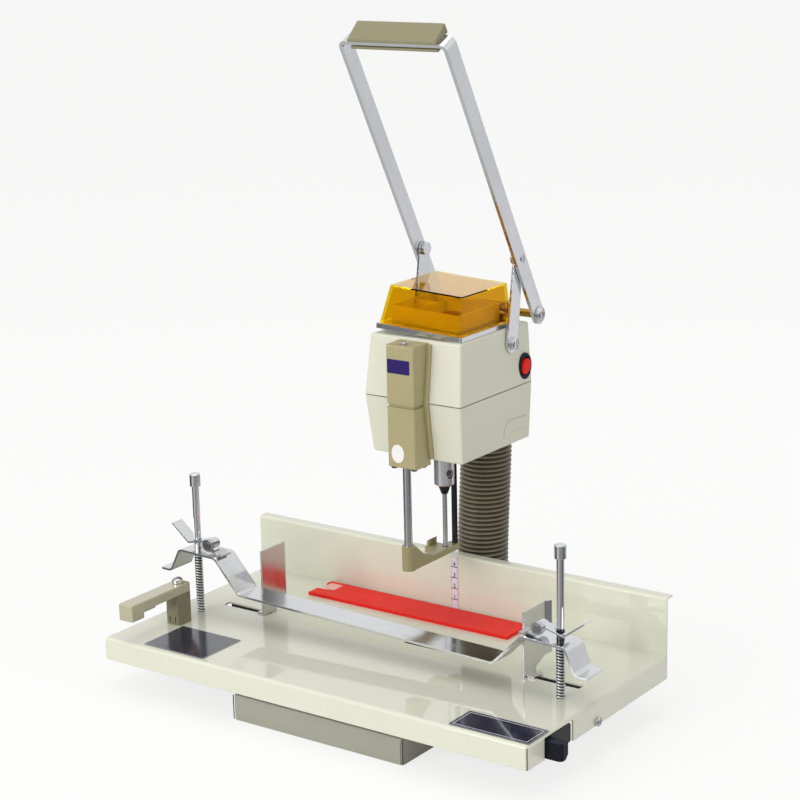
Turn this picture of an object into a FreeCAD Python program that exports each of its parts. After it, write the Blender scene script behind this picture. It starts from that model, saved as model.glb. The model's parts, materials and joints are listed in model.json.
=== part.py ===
import FreeCAD, Part
import os
from math import sin, cos, tan, radians, atan2, degrees, hypot

# Desk machine that drills a stack of paper and clamps it for riveting.
# Frame: +X right, +Y to the back, +Z up. The origin lies on the desk, straight below the drill.
# All sizes are millimetres. The model stands as it does when nobody touches it: head up.

os.makedirs("parts", exist_ok=True)
V = FreeCAD.Vector

# ---------------------------------------------------------------- clearances
run_gap = 0.3          # between pieces that move past each other
bore_fit = 0.05        # radial running fit of a shaft in its bore
touch_gap = 0.05       # radial play of a pin that stays put in its hole

# ---------------------------------------------------------------- base and slide rail
sheet = 1.5            # folded steel sheet of table, fence and base cover
base_width = 168.0
base_front_y = -184.5
base_rear_y = 107.5
base_height = 21.8
base_plate_thick = 6.0
base_corner = 3.0
base_seam = 0.6
base_seam_inset = 2.2
rail_front_y = -167.5
rail_depth = 39.0
rail_height = 15.0
rail_length = 400.0
rail_bed_height = 5.2
rail_bed_width = 120.0
rail_knob_length = 15.6
rail_knob_depth = 9.5
rail_knob_round = 3.5
anvil_depth = 28.0
anvil_width = 150.0
runner_thick = 3.0
runner_length = 46.0
runner_cheek_drop = 8.0
runner_cheek = 3.0
runner_offset = 62.0
glide_width = 150.0
glide_front_y = -82.0
glide_depth = 50.0
glide_thick = 2.0

# ---------------------------------------------------------------- work table and fence
table_width = 418.4
table_depth = 210.0
table_lip = 19.3
table_bend = 3.0
table_shift_x = -7.5   # the table slides sideways and stands a little to the left
drill_to_fence = 17.5
fence_height = 50.0
fence_top_lip = 9.5
notch_front_setback = 24.0
notch_depth = 41.0
notch_top_margin = 2.2
window_left_x = 3.5
window_width = 75.5
window_rear_y = -39.0
window_depth = 30.0
window_corner = 1.0

ruler_left_x = -6.9
ruler_width = 7.5
ruler_thick = 0.4
pad_left_x = -134.5
pad_length = 207.7
pad_front_y = -19.0
pad_depth = 33.5
pad_thick = 3.0
pad_notch_length = 15.0
pad_notch_front = 13.0
pad_notch_depth = 14.0
label_thick = 0.4
left_label_x = -176.9
left_label_width = 64.0
left_label_depth = 49.5
right_label_x = 129.5
right_label_width = 71.0
right_label_depth = 30.0
left_label_setback = 5.5
right_label_setback = 3.5
side_screw_setback = 99.7
side_screw_drop = 15.9
side_screw_r = 3.0
side_screw_head = 2.2
side_screw_chamfer = 0.8

# ---------------------------------------------------------------- clamp bar, rods and latches
clamp_rod_spacing = 363.0
clamp_rod_setback = 92.5
clamp_rod_r = 3.0
clamp_rod_height = 123.8
clamp_head_r = 4.6
clamp_head_height = 11.0
clamp_nut_r = 5.5
clamp_nut_height = 4.5
bar_width = 25.0
bar_thick = 2.0
bar_flat_height = 25.0
bar_hump_height = 52.5
bar_foot_height = 32.0
bar_flat_half = 127.0
bar_hump_inner = 153.0
bar_hump_outer = 193.0
bar_foot_inner = 202.5
bar_foot_outer = 212.5
bar_bend = 4.0
bar_tilt = 1.6          # the bar hangs askew on its springs: its left end stands higher
bar_hole_play = 0.4
spring_r = 3.7
clip_inner_x = 148.5
clip_foot_length = 5.0
clip_joggle_length = 3.0
clip_eye_r = 5.3
clip_thick = 1.2
clip_width = 12.1
clip_front_reach = 8.0
latch_pin_x = 164.8
latch_pin_r = 3.2
latch_pin_lift = 7.1
latch_pin_proud = 0.5
lever_thick = 1.5
lever_width = 12.0
lever_tongue = 7.6
lever_knuckle_r = 4.8
lever_tail_lift = 9.7
lever_inner_x = 171.0
lever_turn_x = 187.5
lever_turn_lift = 4.2
lever_blade_length = 23.0
lever_blade_angle = 38.0
lever_hole_r = 4.0

# ---------------------------------------------------------------- side stops
left_stop_x = -133.5
right_stop_x = 128.5
stop_front_y = -82.5
stop_depth = 31.5
stop_wing = 6.5
stop_wing_angle = 35.0
left_stop_height = 58.5
right_stop_height = 55.0
stop_foot_depth = 17.5
stop_step_height = 12.0
stop_thick = 1.5
stop_stud_r = 3.0
stop_nut_r = 5.5
stop_nut_height = 5.0
stop_travel = 40.0
stop_shoe = 9.0
stop_stud_offset = 4.0
slot_width = 8.0
slot_margin = 1.5

# ---------------------------------------------------------------- tube cutter
cutter_width = 15.0
cutter_x = -194.5
cutter_front_y = -196.5
cutter_length = 74.0
cutter_height = 35.0
cutter_arm_thick = 8.0
cutter_block_depth = 16.0
cutter_block_drop = 6.0
cutter_post_depth = 16.5
cutter_round = 2.0
cutter_screw_r = 4.6
cutter_screw_head = 4.0
cutter_screw_chamfer = 1.0
cutter_shank_r = 2.5
cutter_blade_thick = 1.0

# ---------------------------------------------------------------- column, hose and return spring
column_y = 65.0
column_r = 11.0
column_flange_r = 28.0
column_flange_height = 6.0
column_collar_r = 14.0
column_collar_height = 18.0
hose_r = 22.25
hose_groove = 2.2
hose_bore_r = 18.5
hose_lean = 4.0
hose_lean_direction = 216.0
return_spring_wire_r = 1.2
spring_play = 0.4

# ---------------------------------------------------------------- head casing
casing_bottom_above_table = 150.5
casing_lower_height = 49.2
casing_upper_height = 50.6
casing_half_seam = 47.5
casing_half_end = 44.6
casing_front_seam_y = -44.8
casing_front_end_y = -38.5
casing_rear_y = 63.5
casing_corner = 2.2
casing_edge_round = 2.0
casing_inner_corner = 1.0
casing_wall = 3.0
seam_gap = 0.8
hump_r = 24.0
bush_wall = 3.0
bush_length = 22.0
bush_boss_wall = 3.0
step_recess_depth = 0.8
step_recess_height = 11.0
step_recess_length = 34.0

cover_half = 13.6
cover_front_y = -60.5
cover_overhang = 3.8
cover_top_margin = 1.7
cover_round = 1.5
cover_groove = 1.5
cover_groove_width = 2.4
cover_groove_drop = 1.2
cover_flange_half = 17.3
cover_flange_thick = 3.0
cover_screw_r = 2.7
cover_screw_height = 2.0
cover_screw_chamfer = 0.5
cover_screw_left_x = -10.7
cover_screw_right_x = 8.8
cover_screw_front_y = -55.5
cover_screw_rear_y = -42.6

switch_y = 53.0
switch_height = 15.3
switch_half_width = 9.0
switch_half_height = 11.3
switch_border = 2.0
switch_corner = 6.0
switch_rim = 1.8
switch_depth = 14.0
rocker_half_width = 5.4
rocker_half_height = 7.0
rocker_tilt = 9.0
rocker_proud = 2.6
rocker_axle_r = 1.0
rocker_axle_length = 0.9
rocker_axle_inset = 1.5

# ---------------------------------------------------------------- tray and hood on top of the head
tray_half = 42.0
tray_front_y = -34.5
tray_rear_y = 49.0
tray_thick = 4.2
tray_lift = 0.0
tray_neck_inset = 6.0
tray_tilt = 2.7         # the tray lies askew: its left end stands higher
hood_half_bottom = 40.7
hood_half_top = 35.4
hood_front_bottom_y = -31.0
hood_front_top_y = -24.5
hood_rear_y = 42.5
hood_height = 30.8
hood_wall = 1.8
hood_edge = 1.2
hood_notch_half = 16.3
hood_notch_depth = 1.2
hinge_pin_r = 1.5
hinge_ear = 5.0
hinge_ear_r = 2.4
hinge_behind_hood = 2.7
hinge_ear_x = 27.0
insert_half = 33.0
insert_height = 15.0
insert_wall = 1.5
rivet_box_r = 9.0
rivet_box_height = 9.0
rivet_box_lid = 3.0

# ---------------------------------------------------------------- drive, spindle and drill
motor_r = 27.0
motor_length = 34.0
motor_shoulder = 6.0
housing_height = 58.0
housing_r = 8.5
housing_foot_r = 9.8
housing_foot_height = 5.0
housing_head_r = 20.0
housing_head_height = 3.0
housing_spigot = 1.5
spindle_r = 5.0
spindle_sink = 14.0
chuck_r = 8.7
chuck_length = 29.3
chuck_gap = 3.5
chuck_screw_r = 2.6
chuck_screw_height = 12.0
collar_top_r = 5.0
collar_bottom_r = 2.8
collar_length = 7.7
drill_r = 2.0
drill_grip = 12.0
drill_point = 2.4

# ---------------------------------------------------------------- presser foot
foot_above_table = 58.0
drill_inside_foot = 0.3
foot_plate_thick = 5.2
foot_half = 4.8
foot_boss_r = 5.6
foot_boss_height = 20.8
foot_wing = 15.0
foot_wing_front_y = -9.0
foot_wing_depth = 14.0
foot_lug_height = 5.5
foot_lug_thick = 2.5
foot_hole_r = 2.8
front_rod_y = -53.6
front_rod_r = 3.4
front_rod_sink = 14.0
front_rod_proud = 2.3
rear_rod_x = 0.8
rear_rod_y = 13.0
rear_rod_r = 2.5
rear_rod_engage = 5.0
rear_rod_end_wall = 0.8
foot_floor = 1.2

# ---------------------------------------------------------------- handle and links
pivot_y = 69.0
pivot_above_casing = 5.5
handle_lean = 28.0
handle_length = 267.6
arm_outer_half = 51.4
arm_thick = 3.0
arm_width = 14.2
arm_bend = 3.5
arm_tail = 1.5
arm_end_play = 0.2
cross_shaft_r = 3.5
shaft_block_half = 13.0
shaft_block_depth = 23.0
shaft_block_height = 10.4
pivot_bolt_r = 6.0
pivot_bolt_flange = 0.8
pivot_bolt_head = 1.8
pivot_bolt_chamfer = 0.5
link_pivot_radius = 57.5
link_pivot_back = 1.5
link_bottom_y = 33.2
link_bottom_drop = 12.7
link_thick = 2.0
link_end_r = 8.0
link_top_r = 6.0
link_pin_r = 3.0
link_bolt_r = 4.8
link_bolt_head = 2.6
link_bolt_chamfer = 0.9
link_nut_r = 5.5
link_nut_height = 2.6
grip_half = 42.0
grip_shift = 1.2
grip_rear = 12.0
grip_front = 7.6
grip_height = 8.6
grip_front_height = 2.9
grip_round = 2.0
grip_strip_thick = 2.2
grip_strip_gap = 1.6
grip_strip_half = 6.8
grip_post_r = 2.5

# ---------------------------------------------------------------- heights and places that follow
half_base = base_width / 2
rail_bottom_z = base_height + rail_bed_height
rail_top_z = rail_bottom_z + rail_height
table_under_z = rail_top_z + runner_thick
table_z = table_under_z + sheet
table_left_x = table_shift_x - table_width / 2
table_right_x = table_shift_x + table_width / 2
table_rear_y = drill_to_fence
table_front_y = table_rear_y - table_depth
lip_bottom_z = table_z - table_lip
clamp_y = table_front_y + clamp_rod_setback
casing_bottom_z = table_z + casing_bottom_above_table
seam_z = casing_bottom_z + casing_lower_height
casing_top_z = seam_z + casing_upper_height
pivot_z = casing_top_z + pivot_above_casing
tray_bottom_z = casing_top_z + tray_lift
tray_top_z = tray_bottom_z + tray_thick
foot_z = table_z + foot_above_table
cover_bottom_z = casing_bottom_z - cover_overhang
cover_top_z = casing_top_z - cover_top_margin
chuck_top_z = casing_bottom_z - chuck_gap
chuck_bottom_z = chuck_top_z - chuck_length
drill_tip_z = foot_z + drill_inside_foot
link_x_inner = arm_outer_half - arm_thick - link_thick - 0.4
link_x_outer = link_x_inner + link_thick
hinge_z = tray_top_z + hinge_pin_r + 1.6
hinge_y = hood_rear_y + hinge_behind_hood

written = []


def save(name, shape):
    """Write one node."""
    if shape.Volume < 0:
        shape.reverse()
    shape.exportStep("parts/" + name + ".step")
    written.append((name, round(shape.Volume), len(shape.Solids)))


# ================================================================ shared shapes
def box(x0, x1, y0, y1, z0, z1):
    return Part.makeBox(x1 - x0, y1 - y0, z1 - z0, V(x0, y0, z0))


def rod(r, start, end):
    """Round bar from start to end."""
    axis = end - start
    return Part.makeCylinder(r, axis.Length, start, axis)


def turned(profile, x=0.0, y=0.0):
    """Solid of revolution about the vertical through (x, y); the profile is (radius, z)."""
    points = [V(r + x, y, z) for r, z in profile]
    face = Part.Face(Part.makePolygon(points + [points[0]]))
    return face.revolve(V(x, y, 0), V(0, 0, 1), 360)


def prism(points, place, depth):
    """Straight-sided prism of a 2D outline; place turns (u, v) into a point in space."""
    corners = [place(u, v) for u, v in points]
    return Part.Face(Part.makePolygon(corners + [corners[0]])).extrude(depth)


def outline_yz(x):
    return lambda u, v: V(x, u, v)


def outline_xz(y):
    return lambda u, v: V(u, y, v)


def outline_xy(z):
    return lambda u, v: V(u, v, z)


def rounded_wire(x0, x1, y0, y1, z, r):
    """Rectangle with round corners, lying flat at height z."""
    k = r * (1 - cos(radians(45)))
    edges = []
    corners = [(x1 - r, y0, x1, y0 + r, x1 - k, y0 + k), (x1, y1 - r, x1 - r, y1, x1 - k, y1 - k),
               (x0 + r, y1, x0, y1 - r, x0 + k, y1 - k), (x0, y0 + r, x0 + r, y0, x0 + k, y0 + k)]
    for i, (ax, ay, bx, by, mx, my) in enumerate(corners):
        edges.append(Part.Arc(V(ax, ay, z), V(mx, my, z), V(bx, by, z)).toShape())
        nx, ny = corners[(i + 1) % 4][:2]
        edges.append(Part.makeLine(V(bx, by, z), V(nx, ny, z)))
    return Part.Wire(edges)


def rounded_block(x0, x1, y0, y1, z0, z1, r):
    """Upright block with round vertical edges."""
    return Part.Face(rounded_wire(x0, x1, y0, y1, z0, r)).extrude(V(0, 0, z1 - z0))


def unit(a, b):
    length = hypot(b[0] - a[0], b[1] - a[1])
    return ((b[0] - a[0]) / length, (b[1] - a[1]) / length)


def bend_side(path, offset, inside_r, outside_r, place):
    """Edges of one face of a bent sheet: straight runs with a tangent arc at each bend."""
    last = len(path) - 1
    edges = []
    start = None
    for i, point in enumerate(path):
        d0 = unit(path[i - 1], point) if i > 0 else unit(point, path[1])
        d1 = unit(point, path[i + 1]) if i < last else d0
        n0, n1 = (-d0[1], d0[0]), (-d1[1], d1[0])
        scale = offset / (1 + n0[0] * n1[0] + n0[1] * n1[1])
        corner = (point[0] + scale * (n0[0] + n1[0]), point[1] + scale * (n0[1] + n1[1]))
        if i == 0:
            start = corner
            continue
        if i == last:
            edges.append(Part.makeLine(place(*start), place(*corner)))
            continue
        turn = atan2(d0[0] * d1[1] - d0[1] * d1[0], d0[0] * d1[0] + d0[1] * d1[1])
        r = inside_r if turn * (1 if offset else -1) > 0 else outside_r
        back = r * tan(abs(turn) / 2)
        a = (corner[0] - d0[0] * back, corner[1] - d0[1] * back)
        b = (corner[0] + d1[0] * back, corner[1] + d1[1] * back)
        side = 1 if turn > 0 else -1
        centre = (a[0] + side * r * n0[0], a[1] + side * r * n0[1])
        mid = unit(centre, corner)
        middle = (centre[0] + r * mid[0], centre[1] + r * mid[1])
        edges.append(Part.makeLine(place(*start), place(*a)))
        edges.append(Part.Arc(place(*a), place(*middle), place(*b)).toShape())
        start = b
    return edges


def bent_sheet(path, thick, inner_r, place, depth):
    """Strip of sheet metal: path is one face, the sheet lies to its left, bends are round."""
    near = bend_side(path, 0.0, inner_r, inner_r + thick, place)
    far = bend_side(path, thick, inner_r, inner_r + thick, place)
    first = Part.makeLine(near[0].Vertexes[0].Point, far[0].Vertexes[0].Point)
    last = Part.makeLine(near[-1].Vertexes[1].Point, far[-1].Vertexes[1].Point)
    wire = Part.Wire(Part.__sortEdges__(near + far + [first, last]))
    return Part.Face(wire).extrude(depth)


def sleeve(x, y, z0, z1, outer_r, bore_r):
    """Plain tube, the room that a coil or a corrugated hose takes up."""
    return turned([(bore_r, z0), (outer_r, z0), (outer_r, z1), (bore_r, z1)], x, y)


def tilted(shape, centre, axis, angle):
    turned_shape = shape.copy()
    turned_shape.rotate(centre, axis, angle)
    return turned_shape


def mirrored(shape):
    """Left-hand twin about the middle plane of the head."""
    return shape.mirror(V(0, 0, 0), V(1, 0, 0))


def mirrored_about_table(shape):
    return shape.mirror(V(table_shift_x, 0, 0), V(1, 0, 0))


# ================================================================ base
def base_cover():
    z0 = 0.0
    outer = rounded_block(-half_base, half_base, base_front_y, base_rear_y, z0, base_height, base_corner)
    outer = outer.makeFillet(1.5, [e for e in outer.Edges if e.CenterOfMass.z > base_height - 0.01])
    inner = rounded_block(-half_base + sheet, half_base - sheet, base_front_y + sheet, base_rear_y - sheet,
                          z0 - 1, base_height - sheet, base_corner - sheet)
    hole = Part.makeCylinder(column_collar_r + 4 + run_gap, 2 * base_height, V(0, column_y, 0))
    seam_x = half_base - base_seam_inset
    seam = box(seam_x, seam_x + base_seam, base_front_y - 1, base_front_y + sheet / 2, 0, base_height - 2 * sheet)
    return outer.cut(inner).cut(hole).cut(seam)


def base_plate():
    gap = sheet + touch_gap
    return rounded_block(-half_base + gap, half_base - gap, base_front_y + gap, base_rear_y - gap,
                         0, base_plate_thick, base_corner - sheet)


def column_foot():
    flange_top = base_height + column_flange_height
    root_r = column_collar_r + 4
    bore = column_r + touch_gap
    profile = [(bore, base_plate_thick), (root_r, base_plate_thick), (root_r, base_height),
               (column_flange_r, base_height), (column_flange_r, flange_top - 1), (column_flange_r - 1, flange_top),
               (column_collar_r, flange_top), (column_collar_r, flange_top + column_collar_height),
               (bore, flange_top + column_collar_height)]
    return turned(profile, 0, column_y)


def column():
    shaft = Part.makeCylinder(column_r, casing_top_z + 0.4 - base_plate_thick, V(0, column_y, base_plate_thick))
    return shaft.makeChamfer(0.8, [e for e in shaft.Edges if e.Length > 1 and len(e.Vertexes) == 1])


def slide_rail():
    y1 = rail_front_y + rail_depth
    bar = box(-rail_length / 2, rail_length / 2, rail_front_y, y1, rail_bottom_z, rail_top_z)
    edges = [e for e in bar.Edges if abs(e.tangentAt(e.FirstParameter).x) > 0.9]
    bar = bar.makeChamfer(1.0, edges)
    bed = box(-rail_bed_width / 2, rail_bed_width / 2, rail_front_y, y1, base_height, rail_bottom_z)
    return bar.fuse(bed).removeSplitter()


def rail_knob():
    """Black stop block on the right end of the rail, cut off at its lower rear edge."""
    x0 = rail_length / 2
    y1 = rail_front_y + rail_knob_depth
    body = box(x0, x0 + rail_knob_length, rail_front_y, y1, rail_bottom_z + 1.0, rail_top_z)
    outer = [e for e in body.Edges if abs(e.tangentAt(e.FirstParameter).z) > 0.9
             and e.CenterOfMass.x > x0 + 1 and e.CenterOfMass.y < y1 - 1]
    body = body.makeFillet(rail_knob_round, outer)
    rear = [e for e in body.Edges if abs(e.tangentAt(e.FirstParameter).x) > 0.9
            and e.CenterOfMass.y > y1 - 0.1 and e.CenterOfMass.z < rail_top_z - 1]
    return body.makeChamfer(rail_knob_round, rear)


def anvil_rail():
    """Steel bridge that carries the table right below the drill."""
    top = table_under_z - 0.2
    block = box(-anvil_width / 2, anvil_width / 2, -anvil_depth / 2, anvil_depth / 2, base_height, top)
    return block.makeChamfer(1.5, [e for e in block.Edges if e.CenterOfMass.z > top - 0.01])


def glide_plate():
    return rounded_block(-glide_width / 2, glide_width / 2, glide_front_y, glide_front_y + glide_depth,
                         base_height, base_height + glide_thick, 4.0)


def cross_shaft():
    half = arm_outer_half + arm_end_play
    return rod(cross_shaft_r, V(-half, pivot_y, pivot_z), V(half, pivot_y, pivot_z))


def shaft_block():
    y0 = column_y - column_r
    z0 = casing_top_z + 0.4
    block = box(-shaft_block_half, shaft_block_half, y0, y0 + shaft_block_depth, z0, z0 + shaft_block_height)
    block = block.makeFillet(1.5, [e for e in block.Edges if abs(e.tangentAt(e.FirstParameter).z) > 0.9])
    bore = rod(cross_shaft_r + touch_gap, V(-60, pivot_y, pivot_z), V(60, pivot_y, pivot_z))
    return block.cut(bore)


def pivot_bolt():
    """Low cap nut outside the right arm."""
    x0 = arm_outer_half + arm_end_play
    rim_x = x0 + pivot_bolt_flange
    flange = rod(pivot_bolt_r + 1.2, V(x0, pivot_y, pivot_z), V(rim_x, pivot_y, pivot_z))
    head = rod(pivot_bolt_r, V(rim_x, pivot_y, pivot_z), V(x0 + pivot_bolt_head, pivot_y, pivot_z))
    rim = [e for e in head.Edges if len(e.Vertexes) == 1 and e.CenterOfMass.x > rim_x + 0.01]
    return flange.fuse(head.makeChamfer(pivot_bolt_chamfer, rim)).removeSplitter()


def hose():
    """Corrugated dust hose around the column; it hangs a little out of line at its lower end."""
    z0 = base_height + column_flange_height + 0.2
    z1 = casing_bottom_z - run_gap
    tube = sleeve(0, column_y, z0, z1, hose_r - hose_groove / 2, hose_bore_r)
    along = radians(hose_lean_direction)
    axis = V(sin(along), -cos(along), 0)
    angle = degrees(atan2(hose_lean, z1 - z0))
    leaning = tilted(tube, V(0, column_y, z1), axis, angle)
    trim = box(-60, 60, column_y - 60, column_y + 60, z0, z1)
    return leaning.common(trim)


def return_spring():
    z0 = base_height + column_flange_height + column_collar_height
    z1 = casing_bottom_z - run_gap
    outer = column_r + spring_play + 2 * return_spring_wire_r
    return sleeve(0, column_y, z0, z1, outer, column_r + spring_play)


# ================================================================ work table
def slots():
    """Slots in which the side stops slide, one on each side."""
    y0 = stop_front_y + stop_foot_depth / 2 - slot_width / 2
    length = stop_travel + 2 * (stop_stud_r + slot_margin)
    reach = stop_stud_r + slot_margin
    right_x = right_stop_x + stop_stud_offset - reach
    left_x = left_stop_x - stop_stud_offset + reach
    right = rounded_block(right_x, right_x + length, y0, y0 + slot_width, table_z - 5, table_z + 5, 1.5)
    left = rounded_block(left_x - length, left_x, y0, y0 + slot_width, table_z - 5, table_z + 5, 1.5)
    return right.fuse(left)


def work_table():
    over = 20.0
    outer = rounded_block(table_left_x, table_right_x, table_front_y, table_rear_y + over,
                          lip_bottom_z, table_z, table_bend)
    outer = outer.makeFillet(table_bend - 0.05, [e for e in outer.Edges if e.CenterOfMass.z > table_z - 0.01])
    outer = outer.cut(box(table_left_x - 1, table_right_x + 1, table_rear_y, table_rear_y + 2 * over, 0, table_z + 1))
    inner = rounded_block(table_left_x + sheet, table_right_x - sheet, table_front_y + sheet, table_rear_y + over,
                          lip_bottom_z - 1, table_under_z, table_bend - sheet)
    tray = outer.cut(inner)
    window = rounded_block(window_left_x, window_left_x + window_width, window_rear_y - window_depth,
                           window_rear_y, table_z - 5, table_z + 5, window_corner)
    notch_y = table_front_y + notch_front_setback
    notch = box(table_left_x - 5, table_right_x + 5, notch_y, notch_y + notch_depth,
                lip_bottom_z - 1, table_under_z - notch_top_margin + sheet)
    tray = tray.cut(window).cut(notch).cut(slots())
    for x in clamp_rod_places():
        tray = tray.cut(Part.makeCylinder(clamp_rod_r + touch_gap, 10, V(x, clamp_y, table_z - 5)))
    return tray


def back_fence():
    """Upright sheet at the back edge, its top folded back."""
    path = [(table_rear_y, lip_bottom_z), (table_rear_y, table_z + fence_height),
            (table_rear_y + fence_top_lip, table_z + fence_height)]
    path = [(y, z) for y, z in reversed(path)]
    fence = bent_sheet(path, sheet, 1.0, outline_yz(table_left_x), V(table_width, 0, 0))
    return fence


def ruler_strip():
    x0 = ruler_left_x
    y1 = table_rear_y
    return box(x0, x0 + ruler_width, y1 - ruler_thick, y1, table_z + 1.0, table_z + fence_height - 1.5)


def drill_pad():
    x1 = pad_left_x + pad_length
    pad = box(pad_left_x, x1, pad_front_y, pad_front_y + pad_depth, table_z, table_z + pad_thick)
    notch = box(pad_left_x - 1, pad_left_x + pad_notch_length, pad_front_y + pad_notch_front,
                pad_front_y + pad_notch_front + pad_notch_depth, table_z - 1, table_z + pad_thick + 1)
    pad = pad.cut(notch)
    return pad.makeChamfer(0.4, [e for e in pad.Edges if e.CenterOfMass.z > table_z + pad_thick - 0.01])


def label_plate(x0, width, depth, setback):
    y0 = table_front_y + setback
    return rounded_block(x0, x0 + width, y0, y0 + depth, table_z, table_z + label_thick, 1.5)


def side_screws():
    """Pan-head screws in both side lips."""
    z = table_z - side_screw_drop
    y = table_front_y + side_screw_setback
    heads = []
    for side, x in ((1, table_right_x), (-1, table_left_x)):
        head = rod(side_screw_r, V(x, y, z), V(x + side * side_screw_head, y, z))
        outer = [e for e in head.Edges if abs(e.CenterOfMass.x - x) > side_screw_head - 0.01 and len(e.Vertexes) == 1]
        head = head.makeChamfer(side_screw_chamfer, outer)
        cross = box(x - 30, x + 30, y - 0.5, y + 0.5, z - 2, z + 2)
        reach = box(x + side * side_screw_head - 0.9, x + side * side_screw_head + 0.9, y - 9, y + 9, z - 9, z + 9)
        heads.append(head.cut(cross.common(reach)))
    return Part.makeCompound(heads)


def table_runners():
    """Plastic channels below the table that ride on the rail."""
    pieces = []
    y0, y1 = rail_front_y - run_gap - runner_cheek, rail_front_y + rail_depth + run_gap + runner_cheek
    for x in (table_shift_x - runner_offset, table_shift_x + runner_offset):
        block = box(x - runner_length / 2, x + runner_length / 2, y0, y1,
                    rail_top_z - runner_cheek_drop, table_under_z)
        channel = box(x - runner_length, x + runner_length, rail_front_y - run_gap, rail_front_y + rail_depth + run_gap,
                      0, rail_top_z + 0.2)
        pieces.append(block.cut(channel))
    return Part.makeCompound(pieces)


# ================================================================ clamp
def clamp_rod_places():
    return (table_shift_x - clamp_rod_spacing / 2, table_shift_x + clamp_rod_spacing / 2)


def on_bar(shape):
    """Shape set askew with the clamp bar."""
    return tilted(shape, V(table_shift_x, clamp_y, table_z + bar_hump_height), V(0, 1, 0), bar_tilt)


def bar_point(x, rise):
    """Height and place of a point of the askew bar, given from its middle and from the hump's top."""
    turn = radians(bar_tilt)
    return table_shift_x + x * cos(turn) + rise * sin(turn), table_z + bar_hump_height + rise * cos(turn) - x * sin(turn)


def rod_holes(shape, r):
    """Shape with both clamp rods' holes of radius r."""
    for x in clamp_rod_places():
        shape = shape.cut(Part.makeCylinder(r, clamp_rod_height, V(x, clamp_y, table_z)))
    return shape


def clamp_rod(x):
    bottom = table_under_z - clamp_nut_height
    top = table_z + clamp_rod_height
    bar = Part.makeCylinder(clamp_rod_r, top - bottom, V(x, clamp_y, bottom))
    head = Part.makeCylinder(clamp_head_r, clamp_head_height, V(x, clamp_y, top - clamp_head_height))
    head = head.makeChamfer(0.8, [e for e in head.Edges if len(e.Vertexes) == 1 and e.CenterOfMass.z > top - 0.01])
    nut = six_sided(clamp_nut_r, clamp_nut_height, x, clamp_y, bottom)
    return bar.fuse(head).fuse(nut).removeSplitter()


def six_sided(r, height, x, y, z):
    points = [V(x + r * cos(radians(60 * i)), y + r * sin(radians(60 * i)), z) for i in range(6)]
    return Part.Face(Part.makePolygon(points + [points[0]])).extrude(V(0, 0, height))


def clamp_spring(x):
    z1 = bar_point(x - table_shift_x, -bar_thick - run_gap)[1]
    return sleeve(x, clamp_y, table_z, z1, spring_r, clamp_rod_r + 0.2)


def clamp_bar():
    """Flat bar bent up over both springs, with small feet turned out at the ends."""
    heights = [(bar_foot_outer, bar_foot_height), (bar_foot_inner, bar_foot_height), (bar_hump_outer, bar_hump_height),
               (bar_hump_inner, bar_hump_height), (bar_flat_half, bar_flat_height)]
    right = [(table_shift_x + x, table_z + z) for x, z in heights]
    left = [(table_shift_x - x, table_z + z) for x, z in reversed(heights)]
    bar = bent_sheet(right + left, bar_thick, bar_bend, outline_xz(clamp_y - bar_width / 2), V(0, bar_width, 0))
    return rod_holes(on_bar(bar), clamp_rod_r + bar_hole_play)


def latch_clip():
    """Right-hand clip riveted on the hump: a joggled strip with a rolled knuckle round the pin."""
    z = table_z + bar_hump_height
    x0 = table_shift_x + clip_inner_x
    x1 = x0 + clip_foot_length
    x_pin = table_shift_x + latch_pin_x
    z_pin = z + latch_pin_lift
    low = z_pin - clip_eye_r
    y0 = clamp_y - clip_front_reach
    y1 = y0 + clip_width
    path = [(x0, z), (x1, z), (x1 + clip_joggle_length, low), (x_pin, low)]
    strip = bent_sheet(path, clip_thick, 0.8, outline_xz(y0), V(0, clip_width, 0))
    clip = strip.fuse(rod(clip_eye_r, V(x_pin, y0, z_pin), V(x_pin, y1, z_pin))).removeSplitter()
    reach = clip_eye_r + run_gap
    tongue_front = clamp_y - lever_tongue / 2 - run_gap
    clip = clip.cut(box(x_pin - reach, x_pin + reach, tongue_front, y1 + 1, z, z_pin + reach))
    return clip.cut(rod(latch_pin_r + touch_gap, V(x_pin, y0 - 5, z_pin), V(x_pin, y1 + 5, z_pin)))


def latch_pin():
    z = table_z + bar_hump_height + latch_pin_lift
    x = table_shift_x + latch_pin_x
    y0 = clamp_y - clip_front_reach
    return rod(latch_pin_r, V(x, y0 - latch_pin_proud, z), V(x, y0 + clip_width, z))


def latch_lever():
    """Right-hand jam lever: a knuckle on the pin, a plate sloping down past the rod and a raised blade."""
    z = table_z + bar_hump_height
    x_pin = table_shift_x + latch_pin_x
    z_pin = z + latch_pin_lift
    turn = (table_shift_x + lever_turn_x, z + lever_turn_lift)
    rise = radians(lever_blade_angle)
    tip = (turn[0] + lever_blade_length * cos(rise), turn[1] + lever_blade_length * sin(rise))
    y0, y1 = clamp_y - lever_width / 2, clamp_y + lever_width / 2
    path = [(x_pin, z + lever_tail_lift), turn, tip]
    body = bent_sheet(path, lever_thick, 2.0, outline_xz(y0), V(0, lever_width, 0))
    t0, t1 = clamp_y - lever_tongue / 2, clamp_y + lever_tongue / 2
    inner = table_shift_x + lever_inner_x
    for side in ((y0 - 1, t0), (t1, y1 + 1)):
        body = body.cut(box(x_pin - 5, inner, side[0], side[1], z, z_pin + 10))
    body = body.fuse(rod(lever_knuckle_r, V(x_pin, t0, z_pin), V(x_pin, t1, z_pin))).removeSplitter()
    return body.cut(rod(latch_pin_r + bore_fit, V(x_pin, y0 - 5, z_pin), V(x_pin, y1 + 5, z_pin)))


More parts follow.
